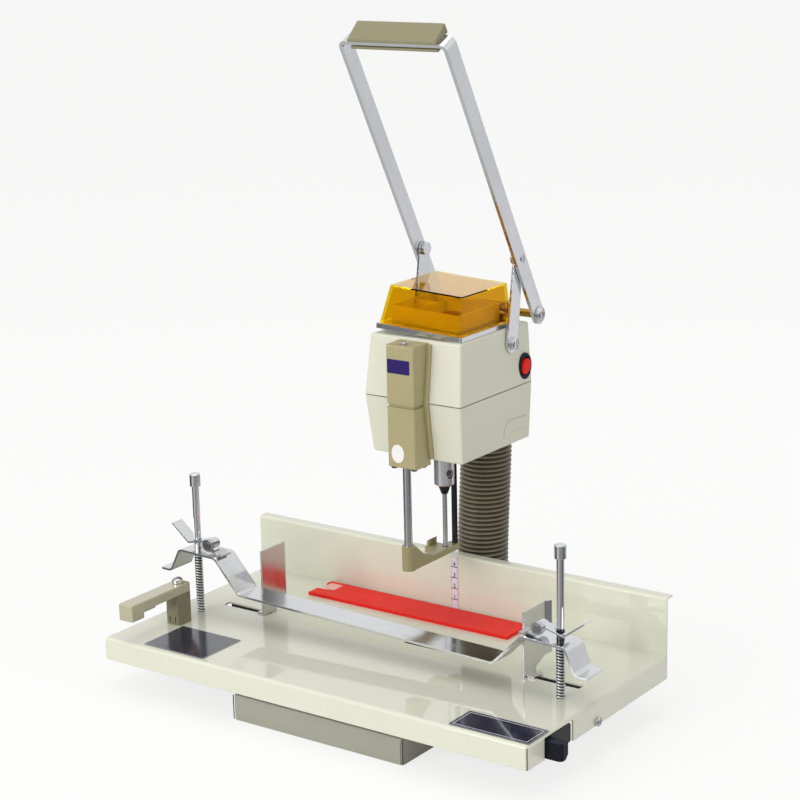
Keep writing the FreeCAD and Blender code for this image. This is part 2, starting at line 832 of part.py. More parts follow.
def side_stop(x, outward, height):
    """Polished plate that stands across the slot, its rear edge turned out, with a shoe and stud."""
    z0 = table_z + 0.2
    top = table_z + height
    y0 = stop_front_y
    foot_y = y0 + stop_foot_depth
    rear = y0 + stop_depth
    wing = radians(stop_wing_angle)
    path = [(x, y0), (x, rear), (x + outward * stop_wing * sin(wing), rear + stop_wing * cos(wing))]
    if outward > 0:
        path = list(reversed(path))
    plate = bent_sheet(path, stop_thick, 1.5, outline_xy(z0), V(0, 0, top - z0))
    plate = plate.cut(box(x - 20, x + 20, foot_y, rear + 20, z0 - 1, z0 + stop_step_height * 0.35))
    corner = prism([(foot_y, z0 - 1), (rear + 20, z0 - 1), (rear + 20, z0 + stop_step_height + 6),
                    (foot_y, z0 + stop_step_height * 0.35)], outline_yz(x - 20), V(40, 0, 0))
    plate = plate.cut(corner)
    y_mid = y0 + stop_foot_depth / 2
    inner, outer = sorted((x, x + outward * stop_shoe))
    shoe = box(inner, outer, y_mid - 6, y_mid + 6, z0, z0 + 1.5)
    stud_x = x + outward * stop_stud_offset
    stud = Part.makeCylinder(stop_stud_r, z0 + 1.5 - (table_under_z - 1.0 - stop_nut_height),
                             V(stud_x, y_mid, table_under_z - 1.0 - stop_nut_height))
    nut = six_sided(stop_nut_r, stop_nut_height, stud_x, y_mid, table_under_z - 0.3 - stop_nut_height)
    return plate.fuse(shoe).fuse(stud).fuse(nut).removeSplitter()


# ================================================================ tube cutter
def cutter_pivot():
    return (cutter_x + cutter_width / 2, cutter_front_y + cutter_length - cutter_post_depth / 2)


def cutter_post():
    x0, x1 = cutter_x, cutter_x + cutter_width
    y1 = cutter_front_y + cutter_length
    y0 = y1 - cutter_post_depth
    top = table_z + cutter_height - cutter_arm_thick - run_gap
    post = rounded_block(x0, x1, y0, y1, table_z, top, cutter_round)
    for x in (x0 + 4.5, x0 + 10.5):
        post = post.cut(box(x - 0.5, x + 0.5, y0 - 1, y0 + 1.5, table_z + 2, table_z + 7))
    x, y = cutter_pivot()
    return post.cut(Part.makeCylinder(cutter_shank_r + touch_gap, 40, V(x, y, table_z + 8)))


def cutter_arm():
    """Lever on the post, its front end thick and turned down over the tube."""
    x0, x1 = cutter_x, cutter_x + cutter_width
    y0, y1 = cutter_front_y, cutter_front_y + cutter_length
    top = table_z + cutter_height
    under = top - cutter_arm_thick
    beam = rounded_block(x0, x1, y0, y1, under, top, cutter_round)
    block = rounded_block(x0, x1, y0, y0 + cutter_block_depth, under - cutter_block_drop, under + 1, cutter_round)
    arm = beam.fuse(block).removeSplitter()
    arm = arm.makeChamfer(0.8, [e for e in arm.Edges if e.CenterOfMass.z > top - 0.01])
    x, y = cutter_pivot()
    return arm.cut(Part.makeCylinder(cutter_shank_r + bore_fit, 60, V(x, y, table_z)))


def cutter_screw():
    x, y = cutter_pivot()
    top = table_z + cutter_height
    head_z = top + run_gap
    head = Part.makeCylinder(cutter_screw_r, cutter_screw_head, V(x, y, head_z))
    crown = [e for e in head.Edges if len(e.Vertexes) == 1 and e.CenterOfMass.z > head_z + cutter_screw_head - 0.01]
    head = head.makeChamfer(cutter_screw_chamfer, crown)
    head = head.cut(box(x - 0.6, x + 0.6, y - 8, y + 8, head_z + cutter_screw_head - 1.2, head_z + 9))
    shank_z = table_z + 9
    return head.fuse(Part.makeCylinder(cutter_shank_r, head_z - shank_z, V(x, y, shank_z))).removeSplitter()


def cutter_blade():
    """Thin blade let into the underside of the lever."""
    x = cutter_x + cutter_width / 2
    y0 = cutter_front_y + cutter_block_depth
    z1 = table_z + cutter_height - cutter_arm_thick
    outline = [(y0, z1), (y0 + 24, z1), (y0 + 20, z1 - 5), (y0, z1 - 5)]
    return prism(outline, outline_yz(x - cutter_blade_thick / 2), V(cutter_blade_thick, 0, 0))


# ================================================================ head casing
def casing_at(z):
    """Half width and front face of the casing at a height: widest at the seam."""
    if z < seam_z:
        share = (seam_z - z) / casing_lower_height
    else:
        share = (z - seam_z) / casing_upper_height
    half = casing_half_seam + (casing_half_end - casing_half_seam) * share
    front = casing_front_seam_y + (casing_front_end_y - casing_front_seam_y) * share
    return half, front


def casing_ring(z, inset):
    """Corners of the casing's outline at a height, set in by the wall."""
    half, front = casing_at(z)
    return [V(-half + inset, front + inset, z), V(half - inset, front + inset, z),
            V(half - inset, casing_rear_y - inset, z), V(-half + inset, casing_rear_y - inset, z)]


def drafted_block(z_a, z_b, inset, corner):
    """Block between two heights with flat, leaning sides and round upright corners."""
    rings = [casing_ring(max(z_a, z_b), inset), casing_ring(min(z_a, z_b), inset)]
    faces = [Part.Face(Part.makePolygon(ring + [ring[0]])) for ring in rings]
    for i in range(4):
        k = (i + 1) % 4
        side = [rings[0][i], rings[0][k], rings[1][k], rings[1][i]]
        faces.append(Part.Face(Part.makePolygon(side + [side[0]])))
    block = Part.Solid(Part.Shell(faces))
    upright = [e for e in block.Edges if abs(e.tangentAt(e.FirstParameter).z) > 0.9]
    return block.makeFillet(corner, upright)


def casing_shell(z_end, z_seam, upper):
    """One half of the casing: drafted walls, a closed end and a round housing for the column."""
    z_in = z_end + (-casing_wall if upper else casing_wall)
    outer = drafted_block(z_end, z_seam, 0, casing_corner)
    low, high = min(z_end, z_seam), max(z_end, z_seam)
    outer = outer.fuse(Part.makeCylinder(hump_r, high - low, V(0, column_y, low))).removeSplitter()
    rims = [e for e in outer.Edges if abs(e.CenterOfMass.z - z_end) < 0.01]
    outer = outer.makeFillet(casing_edge_round, rims)
    inner = drafted_block(z_in, z_seam, casing_wall, casing_inner_corner)
    low_in, high_in = min(z_in, z_seam), max(z_in, z_seam)
    inner = inner.fuse(Part.makeCylinder(hump_r - casing_wall, high_in - low_in, V(0, column_y, low_in)))
    return outer.cut(inner)


def column_boss(z0, z1):
    outer = Part.makeCylinder(column_r + bore_fit + bush_wall + bush_boss_wall, z1 - z0, V(0, column_y, z0))
    return outer


def column_bore(extra):
    return Part.makeCylinder(column_r + bore_fit + bush_wall + extra, 400, V(0, column_y, 0))


def upper_case():
    shell = casing_shell(casing_top_z, seam_z + seam_gap / 2, True)
    boss = column_boss(casing_top_z - casing_wall - bush_length + 2, casing_top_z - 1)
    shell = shell.fuse(boss).removeSplitter().cut(column_bore(touch_gap))
    return shell.cut(switch_block(-switch_depth, 10, switch_border - touch_gap))


def lower_case():
    shell = casing_shell(casing_bottom_z, seam_z - seam_gap / 2, False)
    boss = column_boss(casing_bottom_z + 1, casing_bottom_z + casing_wall + bush_length - 2)
    shell = shell.fuse(boss).removeSplitter().cut(column_bore(touch_gap))
    holes = Part.makeCylinder(housing_r + touch_gap, 30, V(0, 0, casing_bottom_z - 10))
    holes = holes.fuse(Part.makeCylinder(rear_rod_r + bore_fit, 30, V(rear_rod_x, rear_rod_y, casing_bottom_z - 10)))
    shell = shell.cut(holes)
    half, front = casing_at(casing_bottom_z + step_recess_height)
    recess = box(half - step_recess_depth, half + 10, casing_rear_y - step_recess_length, casing_rear_y + 5,
                 casing_bottom_z - 1, casing_bottom_z + step_recess_height)
    return shell.cut(recess)


def guide_bushes():
    """Bronze bushes in which the head rides on the column."""
    pieces = []
    for z0 in (casing_bottom_z + 0.5, casing_top_z - bush_length - 0.5):
        outer = Part.makeCylinder(column_r + bore_fit + bush_wall, bush_length, V(0, column_y, z0))
        pieces.append(outer.cut(Part.makeCylinder(column_r + bore_fit, 400, V(0, column_y, 0))))
    return Part.makeCompound(pieces)


def cover_flange():
    """Moulded strip that lies on the casing's front and follows its two slopes."""
    slope = [(casing_at(z)[1], z) for z in (cover_bottom_z + 6, seam_z, cover_top_z - 1)]
    front = [(y - cover_flange_thick, z) for y, z in reversed(slope)]
    plate = prism(slope + front, outline_yz(-cover_flange_half), V(2 * cover_flange_half, 0, 0))
    inner = box(-cover_half - touch_gap, cover_half + touch_gap, -200, 200, 0, 900)
    sides = plate.cut(inner)
    edges = [e for e in sides.Edges if abs(e.CenterOfMass.x) > cover_flange_half - 0.01
             and abs(e.tangentAt(e.FirstParameter).z) > 0.9 and e.CenterOfMass.y < casing_at(e.CenterOfMass.z)[1] - 1]
    return sides.makeFillet(1.0, edges)


def front_cover():
    """Housing of the foot's front rod: a tall block with a groove round its middle."""
    heights = (cover_bottom_z, seam_z, cover_top_z)
    rear = [(casing_at(max(z, casing_bottom_z))[1] - touch_gap, z) for z in heights]
    block = prism([(cover_front_y, cover_bottom_z)] + rear + [(cover_front_y, cover_top_z)],
                  outline_yz(-cover_half), V(2 * cover_half, 0, 0))
    front = [e for e in block.Edges if e.CenterOfMass.y < cover_front_y + 0.01]
    block = block.makeFillet(cover_round, front)
    groove_z = seam_z - cover_groove_drop
    groove = box(-40, 40, cover_front_y - 5, casing_front_seam_y - cover_flange_thick,
                 groove_z - cover_groove_width / 2, groove_z + cover_groove_width / 2)
    core = box(-cover_half + cover_groove, cover_half - cover_groove, cover_front_y + cover_groove, 0, 0, 900)
    block = block.cut(groove.cut(core))
    bore = Part.makeCylinder(front_rod_r + bore_fit, 400, V(0, front_rod_y, 100))
    return block.cut(bore)


def cover_screws():
    """Dark screw heads below the front housing."""
    heads = []
    for x in (cover_screw_left_x, cover_screw_right_x):
        for y in (cover_screw_front_y, cover_screw_rear_y):
            z = cover_bottom_z - cover_screw_height
            heads.append(turned([(0, z), (cover_screw_r - cover_screw_chamfer, z),
                                 (cover_screw_r, z + cover_screw_chamfer), (cover_screw_r, cover_bottom_z),
                                 (0, cover_bottom_z)], x, y))
    return Part.makeCompound(heads)


def switch_place():
    z = seam_z + switch_height
    return casing_at(z)[0], switch_y, z


def switch_block(x0, x1, inset):
    """Upright block with round corners through the casing's right side, from x0 to x1 off its face."""
    x, y, z = switch_place()
    w, h = switch_half_width - inset, switch_half_height - inset
    block = box(x + x0, x + x1, y - w, y + w, z - h, z + h)
    corners = [e for e in block.Edges if abs(e.tangentAt(e.FirstParameter).x) > 0.9]
    return block.makeFillet(switch_corner - inset, corners)


def switch_bezel():
    """Rim of the rocker switch, with its barrel inside the casing."""
    x, y, z = switch_place()
    rim = switch_block(0.65, switch_rim, 0)
    rim = rim.makeChamfer(0.6, [e for e in rim.Edges if e.CenterOfMass.x > x + switch_rim - 0.01])
    barrel = switch_block(-switch_depth, 0.7, switch_border)
    body = rim.fuse(barrel).removeSplitter()
    well = box(x - 6, x + 10, y - rocker_half_width - run_gap, y + rocker_half_width + run_gap,
               z - rocker_half_height - 1.0, z + rocker_half_height + 1.0)
    return body.cut(well).cut(rocker_axle(bore_fit))


def switch_rocker():
    """Rocker with a shallow V face, tipped to its off side."""
    x, y, z = switch_place()
    half = rocker_half_height
    outline = [(x - 3.0, z - half * 0.72), (x + rocker_proud, z - half), (x + rocker_proud - 1.4, z),
               (x + rocker_proud, z + half), (x - 3.0, z + half * 0.72)]
    body = prism(outline, outline_xz(y - rocker_half_width), V(0, 2 * rocker_half_width, 0))
    return tilted(body, V(x - rocker_axle_inset, y, z), V(0, 1, 0), rocker_tilt).fuse(rocker_axle(0)).removeSplitter()


def rocker_axle(extra):
    """Stub axle of the rocker; extra widens it to its bore."""
    x, y, z = switch_place()
    half = rocker_half_width + run_gap + rocker_axle_length + extra
    return rod(rocker_axle_r + extra, V(x - rocker_axle_inset, y - half, z), V(x - rocker_axle_inset, y + half, z))


# ================================================================ tray and hood
def tray_plate():
    """Plated sheet on the casing with a turned-down front lip and two hinge lugs."""
    plate = rounded_block(-tray_half, tray_half, tray_front_y, tray_rear_y, tray_bottom_z, tray_top_z, 1.5)
    body = plate
    for x in (-hinge_ear_x - hinge_ear, hinge_ear_x):
        lug = box(x, x + hinge_ear, hinge_y - hinge_ear_r, hinge_y + hinge_ear_r, tray_bottom_z, hinge_z)
        body = body.fuse(lug).fuse(rod(hinge_ear_r, V(x, hinge_y, hinge_z), V(x + hinge_ear, hinge_y, hinge_z)))
    pin_hole = rod(hinge_pin_r + touch_gap, V(-60, hinge_y, hinge_z), V(60, hinge_y, hinge_z))
    return on_tray(body.removeSplitter().cut(pin_hole)).fuse(tray_neck()).removeSplitter()


def tray_neck():
    """Wedge that carries the tilted plate on the flat casing."""
    half = tray_half - tray_neck_inset
    low = tray_bottom_z + tray_thick / 2
    high = low + 2 * half * tan(radians(tray_tilt))
    y0, y1 = tray_front_y + tray_neck_inset, tray_rear_y - tray_neck_inset
    return prism([(-half, casing_top_z), (half, casing_top_z), (half, low), (-half, high)],
                 outline_xz(y0), V(0, y1 - y0, 0))


def on_tray(shape):
    """Shape set askew with the tray, about the plate's lower right edge."""
    return tilted(shape, V(tray_half, 0, tray_bottom_z), V(0, 1, 0), tray_tilt)


def hinge_pin():
    half = hinge_ear_x + hinge_ear + 1.0
    return rod(hinge_pin_r, V(-half, hinge_y, hinge_z), V(half, hinge_y, hinge_z))


def hood_wire(z, half, front, inset):
    return rounded_wire(-half + inset, half - inset, front + inset, hood_rear_y - inset, z, hood_edge)


def hood():
    """Clear box cover, drafted on three sides, that tips back on its pin."""
    z0 = tray_top_z + 0.3
    z1 = z0 + hood_height
    outer = Part.makeLoft([hood_wire(z0, hood_half_bottom, hood_front_bottom_y, 0),
                           hood_wire(z1, hood_half_top, hood_front_top_y, 0)], True, True)
    inner = Part.makeLoft([hood_wire(z0 - 0.1, hood_half_bottom, hood_front_bottom_y, hood_wall),
                           hood_wire(z1 - hood_wall, hood_half_top, hood_front_top_y, hood_wall)], True, True)
    body = outer.cut(inner)
    inner_x = hinge_ear_x - run_gap
    for x in (-inner_x, inner_x - 6.0):
        ear = rod(hinge_ear_r, V(x, hinge_y, hinge_z), V(x + 6.0, hinge_y, hinge_z))
        web = box(x, x + 6.0, hood_rear_y - 0.5, hinge_y, hinge_z - 1.2, hinge_z + 1.2)
        body = body.fuse(ear).fuse(web)
    body = body.removeSplitter()
    body = body.cut(rod(hinge_pin_r + bore_fit, V(-60, hinge_y, hinge_z), V(60, hinge_y, hinge_z)))
    notch = box(-hood_notch_half, hood_notch_half, hood_rear_y - hood_notch_depth, hood_rear_y + 1,
                z1 - hood_notch_depth, z1 + 1)
    return body.cut(notch)


def parts_tray():
    """Open compartment tray below the hood."""
    z0, z1 = tray_top_z, tray_top_z + insert_height
    y0, y1 = tray_front_y + 9.0, hood_rear_y - 5.0
    body = rounded_block(-insert_half, insert_half, y0, y1, z0, z1, 3.0)
    w = insert_wall
    mid_y = (y0 + y1) / 2
    cells = [(-insert_half + w, -8.0, y0 + w, mid_y - w / 2), (-insert_half + w, -8.0, mid_y + w / 2, y1 - w),
             (-8.0 + w, insert_half - w, y0 + w, mid_y + 8.0), (-8.0 + w, insert_half - w, mid_y + 8.0 + w, y1 - w)]
    for ax, bx, ay, by in cells:
        body = body.cut(rounded_block(ax, bx, ay, by, z0 + w, z1 + 1, 2.0))
    return body


def rivet_box():
    """Small round lidded box for spare rivets, standing in the large compartment."""
    y = (tray_front_y + 9.0 + hood_rear_y - 5.0) / 2 - 10.0
    z0 = tray_top_z + insert_wall
    z1 = z0 + rivet_box_height
    z_lid = z1 - rivet_box_lid
    return turned([(0, z0), (rivet_box_r - 1.0, z0), (rivet_box_r - 0.5, z_lid), (rivet_box_r, z_lid),
                   (rivet_box_r, z1 - 0.6), (rivet_box_r - 0.6, z1), (0, z1)], 13.0, y)


# ================================================================ drive and spindle
def spindle_housing():
    """Turned bearing tube from the casing floor up to the motor, slim where the rear rod passes."""
    bore = spindle_r + bore_fit
    floor = casing_bottom_z + casing_wall
    top = casing_bottom_z + housing_height
    return turned([(bore, casing_bottom_z - housing_spigot), (housing_r, casing_bottom_z - housing_spigot),
                   (housing_r, floor), (housing_foot_r, floor), (housing_foot_r, floor + housing_foot_height),
                   (housing_r, floor + housing_foot_height), (housing_r, top - housing_head_height),
                   (housing_head_r, top - housing_head_height), (housing_head_r, top), (bore, top)])


def motor():
    """Flat motor on the spindle, standing on the bearing tube's flange."""
    z0 = casing_bottom_z + housing_height
    z1 = z0 + motor_length
    bore = spindle_r + run_gap
    return turned([(bore, z0), (motor_r, z0), (motor_r, z1 - motor_shoulder), (motor_r - motor_shoulder, z1),
                   (bore, z1)])


def spindle():
    z0 = chuck_top_z - spindle_sink
    z1 = casing_bottom_z + housing_height + motor_length
    shaft = Part.makeCylinder(spindle_r, z1 - z0, V(0, 0, z0))
    return shaft.makeChamfer(0.8, [e for e in shaft.Edges if len(e.Vertexes) == 1])


def chuck():
    """Knurl-free drill chuck: a turned body with flutes and a socket for the set screw."""
    body = turned([(spindle_r + touch_gap, chuck_top_z), (chuck_r - 1.5, chuck_top_z), (chuck_r, chuck_top_z - 1.5),
                   (chuck_r, chuck_bottom_z + 1.2), (chuck_r - 1.2, chuck_bottom_z),
                   (drill_r + touch_gap, chuck_bottom_z), (drill_r + touch_gap, chuck_bottom_z + drill_grip),
                   (spindle_r + touch_gap, chuck_bottom_z + drill_grip + 1)])
    z = chuck_bottom_z + chuck_screw_height
    start = V(0, 0, z) + chuck_screw_axis() * (drill_r + 0.5)
    return body.cut(rod(chuck_screw_r + touch_gap, start, V(0, 0, z) + chuck_screw_axis() * 30))


def chuck_screw_axis():
    return V(cos(radians(-30)), sin(radians(-30)), 0)


def chuck_screw():
    z = chuck_bottom_z + chuck_screw_height
    axis = chuck_screw_axis()
    screw = rod(chuck_screw_r, V(0, 0, z) + axis * (spindle_r + 0.3), V(0, 0, z) + axis * (chuck_r - 0.7))
    socket = rod(1.2, V(0, 0, z) + axis * (chuck_r - 2.5), V(0, 0, z) + axis * chuck_r)
    return screw.cut(socket)


def chuck_collar():
    z1 = chuck_bottom_z
    profile = [(drill_r + touch_gap, z1), (collar_top_r, z1), (collar_top_r, z1 - 1.5),
               (collar_bottom_r, z1 - collar_length), (drill_r + touch_gap, z1 - collar_length)]
    return turned(profile)


def drill_bit():
    z1 = chuck_bottom_z + drill_grip
    return turned([(0, z1), (drill_r, z1), (drill_r, drill_tip_z + drill_point), (0, drill_tip_z)])


# ================================================================ presser foot
def presser_foot():
    """Cast foot: tall boss at the front rod, a thin tongue round the drill, one side wing."""
    z0 = foot_z
    y_end = rear_rod_y + rear_rod_r + rear_rod_end_wall
    tongue = rounded_block(-foot_half, foot_half, front_rod_y, y_end, z0, z0 + foot_plate_thick, foot_half - 0.8)
    boss = Part.makeCylinder(foot_boss_r, foot_boss_height, V(0, front_rod_y, z0))
    top = z0 + foot_plate_thick
    web_y = front_rod_y + foot_boss_r
    drop = foot_boss_height - 1.5 - foot_plate_thick
    reach = 24.0
    curve = Part.BSplineCurve()
    points = [V(-foot_half, front_rod_y, top + drop), V(-foot_half, web_y - 0.5, top + drop),
              V(-foot_half, web_y + reach * 0.35, top + drop * 0.45), V(-foot_half, web_y + reach * 0.7, top + drop * 0.13),
              V(-foot_half, web_y + reach, top)]
    curve.interpolate(points[1:])
    edges = [Part.makeLine(points[0], points[1]), curve.toShape(), Part.makeLine(points[-1], V(-foot_half, front_rod_y, top)),
             Part.makeLine(V(-foot_half, front_rod_y, top), points[0])]
    web = Part.Face(Part.Wire(edges)).extrude(V(2 * foot_half, 0, 0))
    wing_y = foot_wing_front_y
    wing = box(-foot_wing, 0, wing_y, wing_y + foot_wing_depth, z0, top)
    lug = prism([(-foot_wing, z0), (-foot_wing + foot_lug_thick, z0), (-foot_wing + foot_lug_thick, top + foot_lug_height),
                 (-foot_wing, top + foot_lug_height - 1.5)], outline_xz(wing_y + 3.0), V(0, foot_wing_depth - 3.0, 0))
    body = tongue.fuse([boss, web, wing, lug]).removeSplitter()
    body = body.cut(Part.makeCylinder(foot_hole_r, 60, V(0, 0, z0 - 10)))
    body = body.cut(Part.makeCylinder(front_rod_r + touch_gap, 80, V(0, front_rod_y, z0 + foot_boss_height - front_rod_sink)))
    return body.cut(Part.makeCylinder(rear_rod_r + touch_gap, 80, V(rear_rod_x, rear_rod_y, z0 + foot_floor)))


def front_rod():
    z0 = foot_z + foot_boss_height - front_rod_sink
    shaft = Part.makeCylinder(front_rod_r, cover_top_z + front_rod_proud - z0, V(0, front_rod_y, z0))
    return shaft.makeChamfer(0.5, [e for e in shaft.Edges if len(e.Vertexes) == 1 and e.CenterOfMass.z > z0 + 1])


def rear_rod():
    z0 = foot_z + foot_floor
    return Part.makeCylinder(rear_rod_r, casing_bottom_z + rear_rod_engage - z0, V(rear_rod_x, rear_rod_y, z0))


# ================================================================ handle
def on_handle(along, across):
    """Point of the handle's side view: along the arm from the pivot, across towards the user."""
    lean = radians(handle_lean)
    y = pivot_y - along * sin(lean) - across * cos(lean)
    z = pivot_z + along * cos(lean) - across * sin(lean)
    return y, z


def handle_frame():
    """Flat bar bent to a U: two arms and the cross bar inside the grip."""
    lean = radians(handle_lean)
    half = arm_outer_half

    def place(u, v):
        y, z = on_handle(v, -arm_width / 2)
        return V(u, y, z)

    across = V(0, -arm_width * cos(lean), -arm_width * sin(lean))
    path = [(half, -arm_tail), (half, handle_length), (-half, handle_length), (-half, -arm_tail)]
    frame = bent_sheet(path, arm_thick, arm_bend, place, across)
    start, end = V(-half, pivot_y, pivot_z), V(half, pivot_y, pivot_z)
    tail_y, tail_z = on_handle(-arm_tail, 0)
    ends = rod(arm_width / 2, V(-half, tail_y, tail_z), V(half, tail_y, tail_z))
    ends = ends.cut(box(-half + arm_thick, half - arm_thick, pivot_y - 50, pivot_y + 50, pivot_z - 50, pivot_z + 50))
    frame = frame.fuse(ends).removeSplitter()
    frame = frame.cut(rod(cross_shaft_r + bore_fit, start - V(9, 0, 0), end + V(9, 0, 0)))
    pin_y, pin_z = on_handle(link_pivot_radius, -link_pivot_back)
    return frame.cut(rod(link_pin_r + touch_gap, V(-70, pin_y, pin_z), V(70, pin_y, pin_z)))


def along_grip(profile, half):
    """Prism along the cross bar; the profile is (across, along)."""
    points = []
    for across, along in profile:
        y, z = on_handle(along, across)
        points.append(V(grip_shift - half, y, z))
    return Part.Face(Part.makePolygon(points + [points[0]])).extrude(V(2 * half, 0, 0))


def grip_top():
    """Upper half of the grip, high at the back and rolled over the front of the bar."""
    a0 = handle_length + touch_gap
    profile = [(-grip_rear, a0), (-grip_rear, a0 + grip_height), (grip_front, a0 + grip_front_height), (grip_front, a0)]
    body = along_grip(profile, grip_half)
    low_y, low_z = on_handle(a0, 0)
    edges = []
    for e in body.Edges:
        p = e.CenterOfMass
        along = (p.y - pivot_y) * -sin(radians(handle_lean)) + (p.z - pivot_z) * cos(radians(handle_lean))
        if along > a0 + grip_front_height / 2 + 0.1:
            edges.append(e)
    return body.makeFillet(grip_round, edges)


def grip_bottom():
    """Lower strip of the grip on two short posts below the bar."""
    a1 = handle_length - arm_thick - grip_strip_gap
    a0 = a1 - grip_strip_thick
    body = along_grip([(-grip_strip_half, a0), (-grip_strip_half, a1), (grip_strip_half, a1), (grip_strip_half, a0)],
                      grip_half - 0.8)
    for x in (-grip_half * 0.6, grip_half * 0.6):
        y0, z0 = on_handle(a0 + 0.5, 0)
        y1, z1 = on_handle(handle_length - arm_thick - touch_gap, 0)
        body = body.fuse(rod(grip_post_r, V(x, y0, z0), V(x, y1, z1)))
    return body.removeSplitter()


def link_ends():
    top = on_handle(link_pivot_radius, -link_pivot_back)
    return top, (link_bottom_y, casing_top_z - link_bottom_drop)


def link():
    """Right-hand link: narrow at the arm, wider round the bolt on the casing."""
    (ty, tz), (by, bz) = link_ends()
    x0 = link_x_inner
    top = rod(link_top_r, V(x0, ty, tz), V(x0 + link_thick, ty, tz))
    bottom = rod(link_end_r, V(x0, by, bz), V(x0 + link_thick, by, bz))
    length = hypot(ty - by, tz - bz)
    slope = (link_end_r - link_top_r) / length
    dy, dz = (ty - by) / length, (tz - bz) / length
    c = (1 - slope * slope) ** 0.5
    outline = []
    for side in (1, -1):
        ny, nz = slope * dy - side * c * dz, slope * dz + side * c * dy
        pair = [(by + link_end_r * ny, bz + link_end_r * nz), (ty + link_top_r * ny, tz + link_top_r * nz)]
        outline += pair if side > 0 else list(reversed(pair))
    body = prism(outline, outline_yz(x0), V(link_thick, 0, 0))
    body = body.fuse([top, bottom]).removeSplitter()
    body = body.cut(rod(link_pin_r + bore_fit, V(0, ty, tz), V(70, ty, tz)))
    return body.cut(rod(link_pin_r + touch_gap, V(0, by, bz), V(70, by, bz)))


def link_rivet():
    """Right-hand pin of the arm through the link, with a nut inside."""
    ty, tz = link_ends()[0]
    shank = rod(link_pin_r, V(link_x_inner - link_nut_height - 0.3, ty, tz), V(arm_outer_half, ty, tz))
    nut = rod(link_nut_r, V(link_x_inner - 0.3 - link_nut_height, ty, tz), V(link_x_inner - 0.3, ty, tz))
    return shank.fuse(nut).removeSplitter()


def link_bolt():
    """Right-hand shoulder bolt at the link's lower end."""
    by, bz = link_ends()[1]
    shank = rod(link_pin_r, V(link_x_inner, by, bz), V(link_x_outer, by, bz))
    washer = rod(link_bolt_r + 1.0, V(link_x_outer, by, bz), V(link_x_outer + 0.8, by, bz))
    head = rod(link_bolt_r, V(link_x_outer + 0.8, by, bz), V(link_x_outer + link_bolt_head, by, bz))
    rim = [e for e in head.Edges if len(e.Vertexes) == 1 and e.CenterOfMass.x > link_x_outer + 1]
    head = head.makeChamfer(link_bolt_chamfer, rim)
    return shank.fuse([washer, head]).removeSplitter()


# ================================================================ all nodes
def pair_of(shape):
    return Part.makeCompound([shape, mirrored(shape)])


def build():
    save("base_cover", base_cover())
    save("base_plate", base_plate())
    save("column_foot", column_foot())
    save("column", column())
    save("slide_rail", slide_rail())
    save("rail_knobs", pair_of(rail_knob()))
    save("anvil_rail", anvil_rail())
    save("glide_plate", glide_plate())
    save("cross_shaft", cross_shaft())
    save("shaft_block", shaft_block())
    save("pivot_bolts", pair_of(pivot_bolt()))
    save("dust_hose", hose())
    save("return_spring", return_spring())

    save("work_table", work_table())
    save("back_fence", back_fence())
    save("ruler_strip", ruler_strip())
    save("drill_pad", drill_pad())
    left_label = label_plate(left_label_x, left_label_width, left_label_depth, left_label_setback)
    right_label = label_plate(right_label_x, right_label_width, right_label_depth, right_label_setback)
    save("label_plates", Part.makeCompound([left_label, right_label]))
    save("side_screws", side_screws())
    save("table_runners", table_runners())
    save("clamp_rods", Part.makeCompound([clamp_rod(x) for x in clamp_rod_places()]))
    save("clamp_springs", Part.makeCompound([clamp_spring(x) for x in clamp_rod_places()]))

    save("clamp_bar", clamp_bar())
    clips = on_bar(Part.makeCompound([latch_clip(), mirrored_about_table(latch_clip())]))
    save("latch_clips", clips)
    save("latch_pins", on_bar(Part.makeCompound([latch_pin(), mirrored_about_table(latch_pin())])))
    right_lever = on_bar(latch_lever())
    left_lever = on_bar(mirrored_about_table(latch_lever()))
    save("latch_lever_right", rod_holes(right_lever, lever_hole_r))
    save("latch_lever_left", rod_holes(left_lever, lever_hole_r))
    save("side_stop_left", side_stop(left_stop_x, -1, left_stop_height))
    save("side_stop_right", side_stop(right_stop_x, 1, right_stop_height))

    save("cutter_post", cutter_post())
    save("cutter_arm", cutter_arm())
    save("cutter_screw", cutter_screw())
    save("cutter_blade", cutter_blade())

    save("upper_case", upper_case())
    save("lower_case", lower_case())
    save("front_cover", front_cover())
    save("cover_flange", cover_flange())
    save("cover_screws", cover_screws())
    save("guide_bushes", guide_bushes())
    save("switch_bezel", switch_bezel())
    save("switch_rocker", switch_rocker())
    save("tray_plate", tray_plate())
    save("hinge_pin", on_tray(hinge_pin()))
    save("hood", on_tray(hood()))
    save("parts_tray", on_tray(parts_tray()))
    save("rivet_box", on_tray(rivet_box()))

    save("motor", motor())
    save("spindle_housing", spindle_housing())
    save("spindle", spindle())
    save("chuck", Part.makeCompound([chuck(), chuck_screw()]))
    save("chuck_collar", chuck_collar())
    save("drill_bit", drill_bit())

    save("presser_foot", presser_foot())
    save("foot_rods", Part.makeCompound([front_rod(), rear_rod()]))

    save("handle_frame", handle_frame())
    save("handle_grip", Part.makeCompound([grip_top(), grip_bottom()]))
    save("link_rivets", pair_of(link_rivet()))
    save("links", pair_of(link()))
    save("link_bolts", pair_of(link_bolt()))


build()
for name, volume, solids in written:
    print(name, volume, solids)
print("nodes", len(written))
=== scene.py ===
import bmesh
import bpy
import json
import math
from functools import partial
from mathutils import Matrix, Vector
from mathutils.bvhtree import BVHTree


